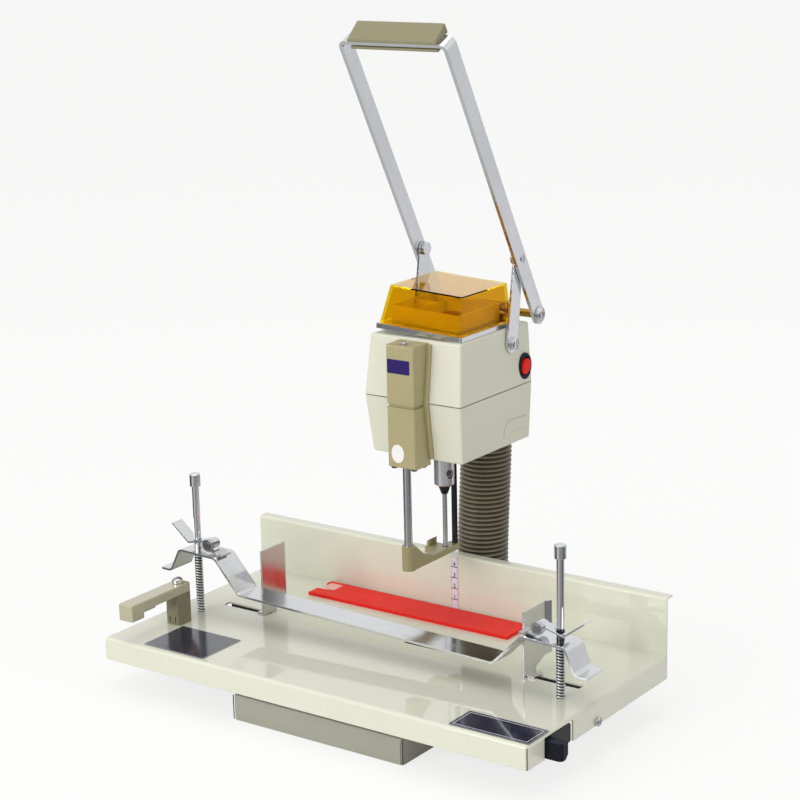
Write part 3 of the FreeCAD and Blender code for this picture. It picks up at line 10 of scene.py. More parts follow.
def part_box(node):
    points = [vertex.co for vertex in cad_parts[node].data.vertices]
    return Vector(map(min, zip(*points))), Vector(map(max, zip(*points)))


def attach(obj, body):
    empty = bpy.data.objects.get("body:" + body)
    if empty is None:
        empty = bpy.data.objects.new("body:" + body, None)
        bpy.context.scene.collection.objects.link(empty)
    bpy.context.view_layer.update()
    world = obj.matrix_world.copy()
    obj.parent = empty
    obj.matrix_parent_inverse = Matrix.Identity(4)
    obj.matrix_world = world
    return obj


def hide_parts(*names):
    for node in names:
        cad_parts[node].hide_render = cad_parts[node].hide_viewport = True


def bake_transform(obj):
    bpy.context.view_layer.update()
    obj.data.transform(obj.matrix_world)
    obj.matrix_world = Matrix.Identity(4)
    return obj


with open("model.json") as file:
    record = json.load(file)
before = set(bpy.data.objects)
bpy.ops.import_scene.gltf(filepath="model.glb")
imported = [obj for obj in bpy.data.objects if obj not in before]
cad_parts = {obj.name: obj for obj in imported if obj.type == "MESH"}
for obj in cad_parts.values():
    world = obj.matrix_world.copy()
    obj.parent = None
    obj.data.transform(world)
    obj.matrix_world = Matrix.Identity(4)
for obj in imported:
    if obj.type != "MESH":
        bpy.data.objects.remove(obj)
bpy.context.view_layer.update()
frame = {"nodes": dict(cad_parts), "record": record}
cadNodes = frame["nodes"]
mm = 0.001


def newObject(name, data):
    made = bpy.data.objects.new(name, data)
    bpy.context.scene.collection.objects.link(made)
    return made


camera = {"place": (0.96207, -1.39229, 0.67470), "azimuth": 35.85, "elevation": 14.47, "roll": -1.333,
          "lens": 94.84, "sensor": 36, "farthest": 60}


def addCamera(s):
    a, e, r = (math.radians(s[k]) for k in ("azimuth", "elevation", "roll"))
    back = Vector((math.sin(a) * math.cos(e), -math.cos(a) * math.cos(e), math.sin(e)))
    level = Vector((math.cos(a), math.sin(a), 0))
    upright = level.cross(-back)
    across = level * math.cos(r) + upright * math.sin(r)
    up = upright * math.cos(r) - level * math.sin(r)
    data = bpy.data.cameras.new("camera")
    data.lens, data.sensor_width, data.clip_end = s["lens"], s["sensor"], s["farthest"]
    made = newObject("camera", data)
    made.matrix_world = Matrix.Translation(s["place"]) @ Matrix((across, up, back)).transposed().to_4x4()
    bpy.context.scene.camera = made


addCamera(camera)
print("camera set")


# helpers for node trees
def addNode(tree, kind, inputs=(), **settings):  # inputs pair each socket with a value or a socket to link
    node = tree.nodes.new(kind)
    for label, value in settings.items():
        setattr(node, label, value)
    for label, value in inputs:
        if isinstance(value, bpy.types.NodeSocket):
            tree.links.new(value, node.inputs[label])
        else:
            node.inputs[label].default_value = value
    return node


def mathNode(tree, operation, *values, clamp=False):
    return addNode(tree, "ShaderNodeMath", enumerate(values), operation=operation, use_clamp=clamp).outputs[0]


def vectorNode(tree, operation, *inputs):
    return addNode(tree, "ShaderNodeVectorMath", inputs, operation=operation).outputs


def spread(tree, value, low, high):  # 0 at low, 1 at high
    sockets = [("Value", value), ("From Min", low), ("From Max", high)]
    return addNode(tree, "ShaderNodeMapRange", sockets).outputs["Result"]


def mixColour(tree, share, a, b):  # the mix node's sockets 0, 6 and 7 are its share and two colours
    a, b = ((*value, 1) if isinstance(value, tuple) else value for value in (a, b))
    return addNode(tree, "ShaderNodeMix", [(0, share), (6, a), (7, b)], data_type="RGBA").outputs[2]


def mixShader(tree, share, a, b):
    return addNode(tree, "ShaderNodeMixShader", enumerate((share, a, b))).outputs[0]


def axesOf(tree, vector):
    return addNode(tree, "ShaderNodeSeparateXYZ", [(0, vector)]).outputs


def oval(halfWidth, halfHeight, count):
    turns = [2 * math.pi * i / count for i in range(count)]
    return [(halfWidth * math.cos(a), halfHeight * math.sin(a)) for a in turns]


# pale floor, soft lights and a white room
studio = {
    "floorRadius": 45.0, "floorSides": 64, "floorColour": (0.93, 0.93, 0.93), "floorRough": 0.85,
    "floorSpecular": 0.2, "floorGlow": 0.78, "floorWhite": 1.0, "sky": 0.92,
    "ambient": 0.60, "slope": 0.50, "brightSide": (-0.40, -0.85, 0.33), "warmth": (1.0, 0.995, 0.985),
    "ceiling": 0.95, "mirrorTop": (0.12, 0.24), "ground": 0.62, "mirrorGround": (-0.42, -0.60),
    "mirrorLift": (-0.20, -0.14), "coolness": 1.03,
    # how bright polished metal finds the room, by degrees from +X towards +Y: low down, then higher up
    "mirrorRound": [
        (-180, 0.08), (-150, 0.12), (-128, 0.18), (-118, 0.50), (-108, 1.00), (-98, 0.62), (-75, 0.36),
        (-50, 0.34), (-20, 0.28), (5, 0.18), (22, 0.08), (38, 0.12), (46, 0.86), (62, 0.88), (70, 0.15),
        (92, 0.10), (103, 1.00), (148, 1.00), (163, 0.20), (180, 0.08)],
    "mirrorUpper": [
        (-180, 0.10), (-104, 0.10), (-84, 0.38), (-30, 0.36), (0, 0.14), (36, 0.30), (44, 0.76), (64, 0.76),
        (72, 0.14), (94, 0.10), (103, 1.00), (148, 1.00), (160, 0.14), (180, 0.10)],
    "lights": [  # name, place, aim, size, power, colour, seen in gloss
        ("keyLight", (-0.7, -2.6, 0.95), (0, 0, 0.2), (1.3, 1.0), 24, (1.0, 0.99, 0.97), True),
        ("topLight", (0.05, 0.0, 2.3), (0, 0, 0.0), (1.3, 0.8), 8, (1.0, 1.0, 1.0), True),
        ("sideLight", (2.4, 0.1, 1.1), (0, 0, 0.2), (0.6, 1.4), 8, (0.97, 0.98, 1.0), False)],
}


def addFloor(s):
    mesh = bpy.data.meshes.new("floor")
    rim = oval(s["floorRadius"], s["floorRadius"], s["floorSides"])
    mesh.from_pydata([(x, y, 0) for x, y in rim], [], [tuple(range(s["floorSides"]))])
    floor = newObject("floor", mesh)
    paper = bpy.data.materials.new("floorPaper")
    paper.use_nodes = True
    tree = paper.node_tree
    shader = tree.nodes["Principled BSDF"]
    shader.inputs["Base Color"].default_value = (*s["floorColour"], 1)
    shader.inputs["Roughness"].default_value = s["floorRough"]
    shader.inputs["Specular IOR Level"].default_value = s["floorSpecular"]
    glow = addNode(tree, "ShaderNodeEmission", [("Color", (*[s["floorWhite"]] * 3, 1))]).outputs[0]
    direct = addNode(tree, "ShaderNodeLightPath").outputs["Is Camera Ray"]
    share = mathNode(tree, "MULTIPLY", direct, s["floorGlow"])
    mixed = mixShader(tree, share, shader.outputs[0], glow)
    tree.links.new(mixed, tree.nodes["Material Output"].inputs["Surface"])
    mesh.materials.append(paper)
    floor.visible_glossy = False


def addLights(s):
    for name, place, aim, size, power, colour, mirrored in s["lights"]:
        data = bpy.data.lights.new(name, "AREA")
        data.shape = "RECTANGLE"
        data.size, data.size_y = size
        data.energy = power
        data.color = colour
        lamp = newObject(name, data)
        lamp.location = place
        lamp.rotation_euler = (Vector(aim) - Vector(place)).to_track_quat("-Z", "Y").to_euler()
        lamp.visible_glossy = mirrored


def addRoom(s):  # soft light, stronger from one side, with bright and dark rings for polished metal to mirror
    world = bpy.data.worlds.new("softRoom")
    bpy.context.scene.world = world
    world.use_nodes = True
    tree = world.node_tree
    tree.nodes.clear()
    where = addNode(tree, "ShaderNodeTexCoord").outputs["Generated"]
    toward = vectorNode(tree, "DOT_PRODUCT", (0, where), (1, s["brightSide"]))["Value"]
    slope = mathNode(tree, "MULTIPLY_ADD", toward, s["slope"], s["ambient"])
    x, y, z = axesOf(tree, where)
    around = spread(tree, mathNode(tree, "ARCTAN2", y, x), -math.pi, math.pi)
    rings = []
    for stops in (s["mirrorRound"], s["mirrorUpper"]):
        bands = addNode(tree, "ShaderNodeValToRGB", [(0, around)])
        ramp = bands.color_ramp.elements
        while len(ramp) < len(stops):
            ramp.new(0.5)
        for element, (degrees, value) in zip(ramp, stops):
            element.position = (degrees + 180) / 360
            element.color = (value, value, value * s["coolness"], 1)
        rings.append(bands.outputs[0])
    mirrored = mixColour(tree, spread(tree, z, *s["mirrorLift"]), *rings)
    for reach, value in ((s["mirrorGround"], s["ground"]), (s["mirrorTop"], s["ceiling"])):
        mirrored = mixColour(tree, spread(tree, z, *reach), mirrored, (value, value, value))
    lit, shiny, seen = [
        addNode(tree, "ShaderNodeBackground", [("Color", colour), ("Strength", strength)]).outputs[0]
        for colour, strength in (((*s["warmth"], 1), slope), (mirrored, 1.0), ((*[s["sky"]] * 3, 1), 1.0))]
    path = addNode(tree, "ShaderNodeLightPath").outputs
    glossy = mixShader(tree, path["Is Glossy Ray"], lit, shiny)
    whole = mixShader(tree, path["Is Camera Ray"], glossy, seen)
    addNode(tree, "ShaderNodeOutputWorld", [("Surface", whole)])


bpy.context.scene.view_settings.view_transform = "Standard"
addFloor(studio)
addLights(studio)
addRoom(studio)
print("studio set")


def newTree(name, kind, inputs, outputs):
    tree = bpy.data.node_groups.new(name, kind)
    for direction, sockets in (("INPUT", inputs), ("OUTPUT", outputs)):
        for label, value, *start in sockets:
            socket = tree.interface.new_socket(name=label, in_out=direction, socket_type="NodeSocket" + value)
            if start:
                socket.default_value = start[0]
    return tree, tree.nodes.new("NodeGroupInput").outputs, tree.nodes.new("NodeGroupOutput").inputs


def objectPlace(tree):
    return addNode(tree, "ShaderNodeTexCoord").outputs["Object"]


def noiseNode(tree, place, scale, detail, rough):
    sockets = [("Vector", place), ("Scale", scale), ("Detail", detail), ("Roughness", rough)]
    return addNode(tree, "ShaderNodeTexNoise", sockets).outputs["Fac"]


# shader groups shared by the finishes; a noise gives its detail and roughness, a pair where it fades in
edgeWear = {"radius": 0.0005, "breakup": 180.0, "samples": 4, "noise": (3.0, 0.6), "bend": (0.02, 0.22),
            "chips": (0.42, 0.66)}
fineGrain = {"scale": 900.0, "softness": 0.5, "fineNoise": (2.0, 0.55), "coarseNoise": (2.0, 0.5),
             "coarser": 0.31, "fineShare": 0.6, "coarseShare": 0.4, "tone": (0.35, 0.65)}
handling = {"scale": 14.0, "slowNoise": (3.0, 0.55), "quickNoise": (4.0, 0.6), "quicker": 4.3,
            "patch": (0.35, 0.65), "smudge": (0.45, 0.7)}
drawing = {"stretch": (6.0, 900.0, 900.0), "streakNoise": (1.0, 3.0, 0.6), "scratchNoise": (0.37, 5.0, 0.75),
           "streak": (0.3, 0.7), "scratch": (0.56, 0.62)}


def edgeWearGroup(s):
    tree, given, out = newTree("edgeWear", "ShaderNodeTree",
                               [("Radius", "Float", s["radius"]), ("Breakup", "Float", s["breakup"])],
                               [("Worn", "Float"), ("Normal", "Vector")])
    rounded = addNode(tree, "ShaderNodeBevel", [("Radius", given["Radius"])], samples=s["samples"]).outputs[0]
    flat = addNode(tree, "ShaderNodeNewGeometry").outputs["Normal"]
    along = vectorNode(tree, "DOT_PRODUCT", (0, rounded), (1, flat))["Value"]
    bend = spread(tree, mathNode(tree, "SUBTRACT", 1.0, along), *s["bend"])
    chips = spread(tree, noiseNode(tree, objectPlace(tree), given["Breakup"], *s["noise"]), *s["chips"])
    tree.links.new(mathNode(tree, "MULTIPLY", bend, chips), out["Worn"])
    tree.links.new(rounded, out["Normal"])
    return tree


def fineGrainGroup(s):
    tree, given, out = newTree("fineGrain", "ShaderNodeTree",
                               [("Scale", "Float", s["scale"]), ("Softness", "Float", s["softness"])],
                               [("Height", "Float"), ("Tone", "Float")])
    calc, place = partial(mathNode, tree), objectPlace(tree)
    fine = noiseNode(tree, place, given["Scale"], *s["fineNoise"])
    coarse = noiseNode(tree, place, calc("MULTIPLY", given["Scale"], s["coarser"]), *s["coarseNoise"])
    mixed = calc("ADD", calc("MULTIPLY", fine, s["fineShare"]), calc("MULTIPLY", coarse, s["coarseShare"]))
    tree.links.new(calc("MULTIPLY", mixed, given["Softness"]), out["Height"])
    tree.links.new(spread(tree, coarse, *s["tone"]), out["Tone"])
    return tree


def handlingGroup(s):
    tree, given, out = newTree("handlingPatches", "ShaderNodeTree", [("Scale", "Float", s["scale"])],
                               [("Patch", "Float"), ("Smudge", "Float")])
    place = objectPlace(tree)
    slow = noiseNode(tree, place, given["Scale"], *s["slowNoise"])
    quick = noiseNode(tree, place, mathNode(tree, "MULTIPLY", given["Scale"], s["quicker"]), *s["quickNoise"])
    tree.links.new(spread(tree, slow, *s["patch"]), out["Patch"])
    tree.links.new(spread(tree, quick, *s["smudge"]), out["Smudge"])
    return tree


def drawingGroup(s):
    tree, given, out = newTree("drawnStreaks", "ShaderNodeTree", [("Stretch", "Vector", s["stretch"])],
                               [("Streak", "Float"), ("Scratch", "Float")])
    place = vectorNode(tree, "MULTIPLY", (0, objectPlace(tree)), (1, given["Stretch"]))[0]
    tree.links.new(spread(tree, noiseNode(tree, place, *s["streakNoise"]), *s["streak"]), out["Streak"])
    tree.links.new(spread(tree, noiseNode(tree, place, *s["scratchNoise"]), *s["scratch"]), out["Scratch"])
    return tree


groups = {"edge": edgeWearGroup(edgeWear), "grain": fineGrainGroup(fineGrain),
          "patch": handlingGroup(handling), "brush": drawingGroup(drawing)}


def placeGroup(tree, key, **values):
    return addNode(tree, "ShaderNodeGroup", values.items(), node_tree=groups[key]).outputs


plainFinish = {  # what a finish has where it names nothing else
    "edgeRadius": 0.0005, "breakup": 180.0, "grainScale": 900.0, "grainSoftness": 1.0, "patchScale": 14.0,
    "mottle": 0.5, "fleck": 0.25, "smudge": 0.08, "streakTone": 0.3, "streakGloss": 0.1, "scratchGloss": 0.06,
    "grainUnderStreaks": 0.3, "wear": 0.5, "bumpStrength": 0.5, "bumpDepth": 0.00004, "metal": 0.0,
    "specular": 0.5, "coat": 0.0, "coatRough": 0.1, "clear": 0.0, "ior": 1.5, "depthGlow": 0.0,
    "glowReach": (0.002, 0.0015, 0.001), "belowLimits": (0.3, 0.7), "aboveLimits": (0.5, 0.9)}
shaderSockets = {"Metallic": "metal", "Specular IOR Level": "specular", "Coat Weight": "coat",
                 "Coat Roughness": "coatRough", "Transmission Weight": "clear", "IOR": "ior",
                 "Subsurface Weight": "depthGlow", "Subsurface Radius": "glowReach"}


def makeFinish(name, changes):  # colour patches, worn edges, grain or drawn streaks, and varied gloss
    s = {**plainFinish, **changes}
    mat = bpy.data.materials.new(name)
    mat.use_nodes = True
    tree = mat.node_tree
    calc = partial(mathNode, tree)
    shader = tree.nodes["Principled BSDF"]
    edge = placeGroup(tree, "edge", Radius=s["edgeRadius"], Breakup=s["breakup"])
    grain = placeGroup(tree, "grain", Scale=s["grainScale"], Softness=s["grainSoftness"])
    patch = placeGroup(tree, "patch", Scale=s["patchScale"])
    colour = mixColour(tree, calc("MULTIPLY", patch["Patch"], s["mottle"]), s["colour"], s["shade"])
    colour = mixColour(tree, calc("MULTIPLY", grain["Tone"], s["fleck"]), colour, s["shade"])
    height = grain["Height"]
    gloss = calc("MULTIPLY", patch["Smudge"], s["smudge"])
    if "stretch" in s:  # drawn one way
        brush = placeGroup(tree, "brush", Stretch=s["stretch"])
        colour = mixColour(tree, calc("MULTIPLY", brush["Streak"], s["streakTone"]), colour, s["shade"])
        gloss = calc("ADD", gloss, calc("MULTIPLY", brush["Streak"], s["streakGloss"]))
        gloss = calc("ADD", gloss, calc("MULTIPLY", brush["Scratch"], s["scratchGloss"]))
        height = calc("ADD", calc("MULTIPLY", height, s["grainUnderStreaks"]), brush["Streak"])
    if "grooveShadeName" in s:  # painted shade: darker where the piece's own attribute says the surface lies low, in grooves
        grooveShade = addNode(tree, "ShaderNodeAttribute", attribute_name=s["grooveShadeName"])
        colour = mixColour(tree, grooveShade.outputs["Fac"], colour, s["grooveShade"])
    if "underside" in s or "coatOnTop" in s:
        rise = axesOf(tree, addNode(tree, "ShaderNodeNewGeometry").outputs["Normal"])["Z"]
    if "underside" in s:  # painted shade: faces turned downward are darkened towards a darker tone
        below = spread(tree, calc("MULTIPLY", rise, -1.0), *s["belowLimits"])
        colour = mixColour(tree, below, colour, s["underside"])
    if "beyond" in s:  # another tone past a place on one axis; on the rear foot rod this is painted shade
        axis, low, high, tone = s["beyond"]
        past = spread(tree, axesOf(tree, objectPlace(tree))[axis], low, high)
        colour = mixColour(tree, past, colour, tone)
    colour = mixColour(tree, calc("MULTIPLY", edge["Worn"], s["wear"]), colour, s.get("bare", s["shade"]))
    tree.links.new(colour, shader.inputs["Base Color"])
    tree.links.new(calc("ADD", gloss, s["rough"], clamp=True), shader.inputs["Roughness"])
    bump = addNode(tree, "ShaderNodeBump", [("Strength", s["bumpStrength"]), ("Distance", s["bumpDepth"]),
                                            ("Height", height)])
    if not s["clear"]:
        tree.links.new(edge["Normal"], bump.inputs["Normal"])
    tree.links.new(bump.outputs[0], shader.inputs["Normal"])
    for socket, key in shaderSockets.items():
        shader.inputs[socket].default_value = s[key]
    if "coatOnTop" in s:  # polished above, plainer on the sides
        extra = calc("MULTIPLY", spread(tree, rise, *s["aboveLimits"]), s["coatOnTop"] - s["coat"])
        tree.links.new(calc("ADD", extra, s["coat"]), shader.inputs["Coat Weight"])
    return mat


finishSettings = {
    "beige_paint": dict(
        colour=(0.36, 0.36, 0.295), shade=(0.30, 0.30, 0.24), bare=(0.5, 0.5, 0.45), rough=0.32,
        grainScale=1100.0, bumpDepth=0.00003, mottle=0.4, wear=0.35),
    "ivory_paint": dict(
        colour=(0.69, 0.70, 0.585), shade=(0.62, 0.63, 0.515), bare=(0.82, 0.82, 0.74), rough=0.30,
        grainScale=1300.0, bumpDepth=0.000010, mottle=0.3, fleck=0.12, smudge=0.06, wear=0.2, specular=0.1,
        coat=1.0, coatRough=0.035),
    "ivory_plastic": dict(
        colour=(0.65, 0.65, 0.54), shade=(0.59, 0.59, 0.48), bare=(0.76, 0.76, 0.66), rough=0.38,
        grainScale=2200.0, bumpDepth=0.000025, mottle=0.25, fleck=0.12, wear=0.2, edgeRadius=0.0006,
        depthGlow=0.05),
    "olive_plastic": dict(
        colour=(0.39, 0.345, 0.185), shade=(0.32, 0.28, 0.145), bare=(0.52, 0.47, 0.30), rough=0.36,
        grainScale=2000.0, bumpDepth=0.00003, mottle=0.35, wear=0.45, edgeRadius=0.0006),
    "olive_paint": dict(
        colour=(0.31, 0.27, 0.13), shade=(0.25, 0.215, 0.10), bare=(0.46, 0.42, 0.26), rough=0.3,
        grainScale=1200.0, bumpDepth=0.00003, mottle=0.4, coat=0.2),
    "black_plastic": dict(
        colour=(0.004, 0.005, 0.014), shade=(0.009, 0.010, 0.020), bare=(0.06, 0.06, 0.075), rough=0.40,
        specular=0.22, grainScale=1800.0, bumpDepth=0.00003),
    "red_plastic": dict(
        colour=(0.84, 0.026, 0.020), shade=(0.70, 0.018, 0.014), bare=(0.84, 0.10, 0.08), rough=0.34,
        specular=0.10, grainScale=1500.0, bumpDepth=0.00002, mottle=0.4, wear=0.3),
    "label_film": dict(
        colour=(0.012, 0.013, 0.035), shade=(0.02, 0.022, 0.05), bare=(0.10, 0.10, 0.13), rough=0.16,
        grainScale=700.0, bumpDepth=0.00001, coat=0.5, coatRough=0.06, edgeRadius=0.0002),
    "ruler_film": dict(
        colour=(0.76, 0.69, 0.78), shade=(0.70, 0.62, 0.71), bare=(0.85, 0.8, 0.8), rough=0.35,
        bumpDepth=0.00001, edgeRadius=0.0002),
    # its grooves are darkened with painted shade
    "hose_rubber": dict(
        colour=(0.27, 0.225, 0.135), shade=(0.19, 0.16, 0.095), bare=(0.28, 0.24, 0.16), rough=0.40,
        grainScale=1300.0, wear=0.0, edgeRadius=0.0002, grooveShadeName="groove", grooveShade=(0.018, 0.015, 0.010)),
    "dark_steel": dict(
        colour=(0.055, 0.055, 0.06), shade=(0.03, 0.03, 0.035), bare=(0.3, 0.3, 0.3), rough=0.35, metal=0.6,
        bumpDepth=0.00003, stretch=(5.0, 700.0, 700.0)),
    "motor_steel": dict(colour=(0.2, 0.2, 0.2), shade=(0.15, 0.15, 0.16), bare=(0.4, 0.4, 0.4), rough=0.4),
    "polished_steel": dict(
        colour=(0.62, 0.62, 0.63), shade=(0.42, 0.42, 0.44), bare=(0.8, 0.8, 0.8), rough=0.16, metal=1.0,
        stretch=(700.0, 700.0, 7.0), streakTone=0.35, bumpDepth=0.000006, grainScale=1500.0,
        edgeRadius=0.0003),
    "chrome_plate": dict(
        colour=(0.74, 0.745, 0.76), shade=(0.60, 0.60, 0.62), bare=(0.86, 0.86, 0.87), rough=0.10, metal=1.0,
        stretch=(9.0, 620.0, 620.0), streakTone=0.25, streakGloss=0.06, bumpDepth=0.000004, smudge=0.07,
        grainScale=1200.0, edgeRadius=0.0004),
    "brass": dict(
        colour=(0.52, 0.34, 0.075), shade=(0.36, 0.23, 0.05), bare=(0.72, 0.55, 0.2), rough=0.2, metal=1.0,
        stretch=(700.0, 9.0, 700.0), bumpDepth=0.000005, edgeRadius=0.0003),
    "bronze_bush": dict(
        colour=(0.45, 0.28, 0.10), shade=(0.3, 0.19, 0.08), bare=(0.6, 0.4, 0.2), rough=0.4, metal=1.0),
    "amber_clear": dict(
        colour=(0.87, 0.60, 0.006), shade=(0.85, 0.55, 0.004), bare=(0.78, 0.34, 0.0), rough=0.01, clear=1.0,
        ior=1.06, coat=0.22, coatOnTop=1.0, coatRough=0.02, mottle=0.3, fleck=0.1, smudge=0.02, wear=0.9,
        grainScale=160.0, bumpDepth=0.00001, edgeRadius=0.0007),
}
# a darker copy of the olive plastic: painted shade for the cutter post
cutterOliveShaded = dict(colour=(0.20, 0.18, 0.10), shade=(0.16, 0.142, 0.075), bare=(0.32, 0.29, 0.18), rough=0.24,
                   coat=0.8, coatRough=0.12)
ownFinishes = {  # nodes whose finish differs a little from their slot's
    "parts_tray": ("PaleTrayClear", "amber_clear", dict(
        colour=(1.0, 0.93, 0.68), shade=(0.98, 0.90, 0.60), rough=0.12, clear=0.5)),
    "latch_pins": ("PinSteel", "polished_steel", dict(
        colour=(0.34, 0.34, 0.35), shade=(0.22, 0.22, 0.23), rough=0.25)),
    "pivot_bolts": ("BoltChrome", "chrome_plate", dict(
        colour=(0.68, 0.68, 0.70), stretch=(500.0, 500.0, 9.0))),
    "handle_grip": ("GripOlive", "olive_plastic", dict(
        colour=(0.255, 0.235, 0.135), shade=(0.21, 0.19, 0.105), bare=(0.36, 0.33, 0.22), rough=0.42)),
    "chuck": ("ChuckSteel", "polished_steel", dict(
        colour=(0.86, 0.86, 0.87), shade=(0.7, 0.7, 0.71), rough=0.26)),
    "side_stop_left": ("StopChrome", "chrome_plate", dict(colour=(0.56, 0.55, 0.55), rough=0.14)),
    "side_stop_right": ("StopSatin", "chrome_plate", dict(colour=(0.62, 0.62, 0.62), rough=0.16)),
    "rivet_box": ("BoxAmber", "black_plastic", dict(colour=(0.30, 0.15, 0.04), shade=(0.22, 0.10, 0.03))),
    # the clamp bar's downward faces are darkened with painted shade
    "clamp_bar": ("BarChrome", "chrome_plate", dict(underside=(0.06, 0.06, 0.055))),
    # the rear foot rod is darkened with painted shade
    "foot_rods": ("FootRodSteel", "polished_steel", dict(beyond=("Y", -0.02, -0.01, (0.05, 0.05, 0.055)))),
    "clamp_rods": ("RodChrome", "chrome_plate", dict(
        stretch=(620.0, 620.0, 9.0), beyond=("Z", 0.1035, 0.1030, (0.06, 0.07, 0.07)))),
    # the cutter arm's lighter copy of the olive is a painted sheen
    "cutter_arm": ("CutterArmOlive", "olive_plastic", dict(
        cutterOliveShaded, colour=(0.46, 0.43, 0.30), shade=(0.39, 0.36, 0.24))),
    "cutter_post": ("CutterPostOlive", "olive_plastic", cutterOliveShaded),
}
inkSettings = {  # films and inks of the small added pieces
    "darkInk": dict(colour=(0.03, 0.028, 0.035), shade=(0.05, 0.045, 0.05), rough=0.5, edgeRadius=0.0001),
    "paleInk": dict(colour=(0.62, 0.63, 0.68), shade=(0.5, 0.5, 0.56), rough=0.4, edgeRadius=0.0001),
    "blueFilm": dict(colour=(0.022, 0.010, 0.125), shade=(0.017, 0.008, 0.10), bare=(0.1, 0.08, 0.25),
                     rough=0.45, specular=0.2, edgeRadius=0.0002),
    "whiteFilm": dict(colour=(0.82, 0.80, 0.79), shade=(0.74, 0.71, 0.70), rough=0.3, edgeRadius=0.0002),
    "paleTape": dict(colour=(0.86, 0.46, 0.41), shade=(0.80, 0.38, 0.34), rough=0.35, edgeRadius=0.0002),
    "caseShade": dict(colour=(0.33, 0.33, 0.26), shade=(0.28, 0.28, 0.22), rough=0.6, edgeRadius=0.0001),
    # holeShade is painted shade standing in for a hole
    "holeShade": dict(colour=(0.03, 0.03, 0.03), shade=(0.05, 0.05, 0.05), rough=0.7, edgeRadius=0.0004),
}
finishes = {slot: makeFinish(slot.title().replace("_", ""), s) for slot, s in finishSettings.items()}
for part in frame["record"]["subparts"]:
    node = cadNodes[part["node"]]
    node.data.materials.clear()
    node.data.materials.append(finishes[part["material_slot"]])
for node, (name, base, changes) in ownFinishes.items():
    cadNodes[node].data.materials[0] = makeFinish(name, {**finishSettings[base], **changes})
inks = {name: makeFinish(name, s) for name, s in inkSettings.items()}
print("finishes on", len(cadNodes), "nodes")


# helpers for the added pieces
weldWithin = 1e-7


def meshFromBmesh(name, bm):
    bmesh.ops.remove_doubles(bm, verts=bm.verts, dist=weldWithin)
    bmesh.ops.recalc_face_normals(bm, faces=bm.faces)
    mesh = bpy.data.meshes.new(name)
    bm.to_mesh(mesh)
    bm.free()
    return mesh


def finishPiece(piece, body, replaced=()):
    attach(piece, body)
    if replaced:
        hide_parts(*replaced)


def paintedPiece(name, bm, finish, body, replaced=(), sharpAbove=None):
    piece = newObject(name, meshFromBmesh(name, bm))
    piece.data.materials.append(finish)
    if sharpAbove:
        piece.data.shade_smooth()
        piece.data.set_sharp_from_angle(angle=math.radians(sharpAbove))
    finishPiece(piece, body, replaced)


def slab(bm, x0, x1, y0, y1, z0, z1):
    corners = [bm.verts.new((x, y, z)) for z in (z0, z1) for y in (y0, y1) for x in (x0, x1)]
    for face in ((0, 2, 3, 1), (4, 5, 7, 6), (0, 1, 5, 4), (2, 6, 7, 3), (0, 4, 6, 2), (1, 3, 7, 5)):
        bm.faces.new([corners[i] for i in face])


def slabPiece(name, boxes, finish, body):
    bm = bmesh.new()
    for box in boxes:
        slab(bm, *box)
    paintedPiece(name, bm, finish, body)


def bridge(bm, rings):
    for a, b in zip(rings, rings[1:]):
        for i in range(len(a)):
            j = (i + 1) % len(a)
            bm.faces.new((a[i], a[j], b[j], b[i]))
    bm.faces.new(list(reversed(rings[0])))


def closeEnds(bm, rings):
    bridge(bm, rings)
    bm.faces.new(rings[-1])


def surfaceOf(node):
    mesh = cadNodes[node].data
    corners = [v.co.copy() for v in mesh.vertices]
    return BVHTree.FromPolygons(corners, [tuple(p.vertices) for p in mesh.polygons])


def nodeSpan(node, right):  # lowest and highest corner of a node's left or right half
    points = [v.co for v in cadNodes[node].data.vertices if (v.co.x > 0 if right else v.co.x < 0)]
    return [Vector(pick(p[i] for p in points) for i in range(3)) for pick in (min, max)]


def geometryTree(name, *sizes):
    shape = ("Geometry", "Geometry")
    return newTree(name, "GeometryNodeTree", [shape, *sizes, ("Material", "Material")], [shape])


def closeTree(tree, given, out, geometry):
    real = addNode(tree, "GeometryNodeRealizeInstances", [("Geometry", geometry)]).outputs[0]
    sockets = [("Geometry", real), ("Material", given["Material"])]
    tree.links.new(addNode(tree, "GeometryNodeSetMaterial", sockets).outputs[0], out["Geometry"])
    return tree


def settled(holder):  # the evaluated object as a plain mesh; the object itself goes
    graph = bpy.context.evaluated_depsgraph_get()
    mesh = bpy.data.meshes.new_from_object(holder.evaluated_get(graph), depsgraph=graph)
    bpy.data.objects.remove(holder)
    return mesh


def grow(name, tree, values, source=None):  # runs a geometry tree once, at the origin
    holder = newObject(name + "Seed", source or bpy.data.meshes.new(name + "Seed"))
    modifier = holder.modifiers.new("growth", "NODES")
    modifier.node_group = tree
    for item in tree.interface.items_tree:
        if item.item_type == "SOCKET" and item.in_out == "INPUT" and item.name in values:
            modifier[item.identifier] = values[item.name]
    mesh = settled(holder)
    mesh.name = name
    return newObject(name, mesh)


def joinMeshes(name, pieces):
    bm = bmesh.new()
    for piece in pieces:
        bm.from_mesh(piece.data)
    mesh = bpy.data.meshes.new(name)
    bm.to_mesh(mesh)
    bm.free()
    for mat in pieces[0].data.materials:
        mesh.materials.append(mat)
    for piece in pieces:
        bpy.data.objects.remove(piece)
    mesh.shade_smooth()
    return newObject(name, mesh)


# coil springs
clampSpring = {"wire": 0.72 * mm, "pitch": 2.45 * mm, "stepsPerTurn": 18}
columnSpring = {"wire": 1.2 * mm, "pitch": 6.0 * mm, "stepsPerTurn": 32}
wireSides = 8


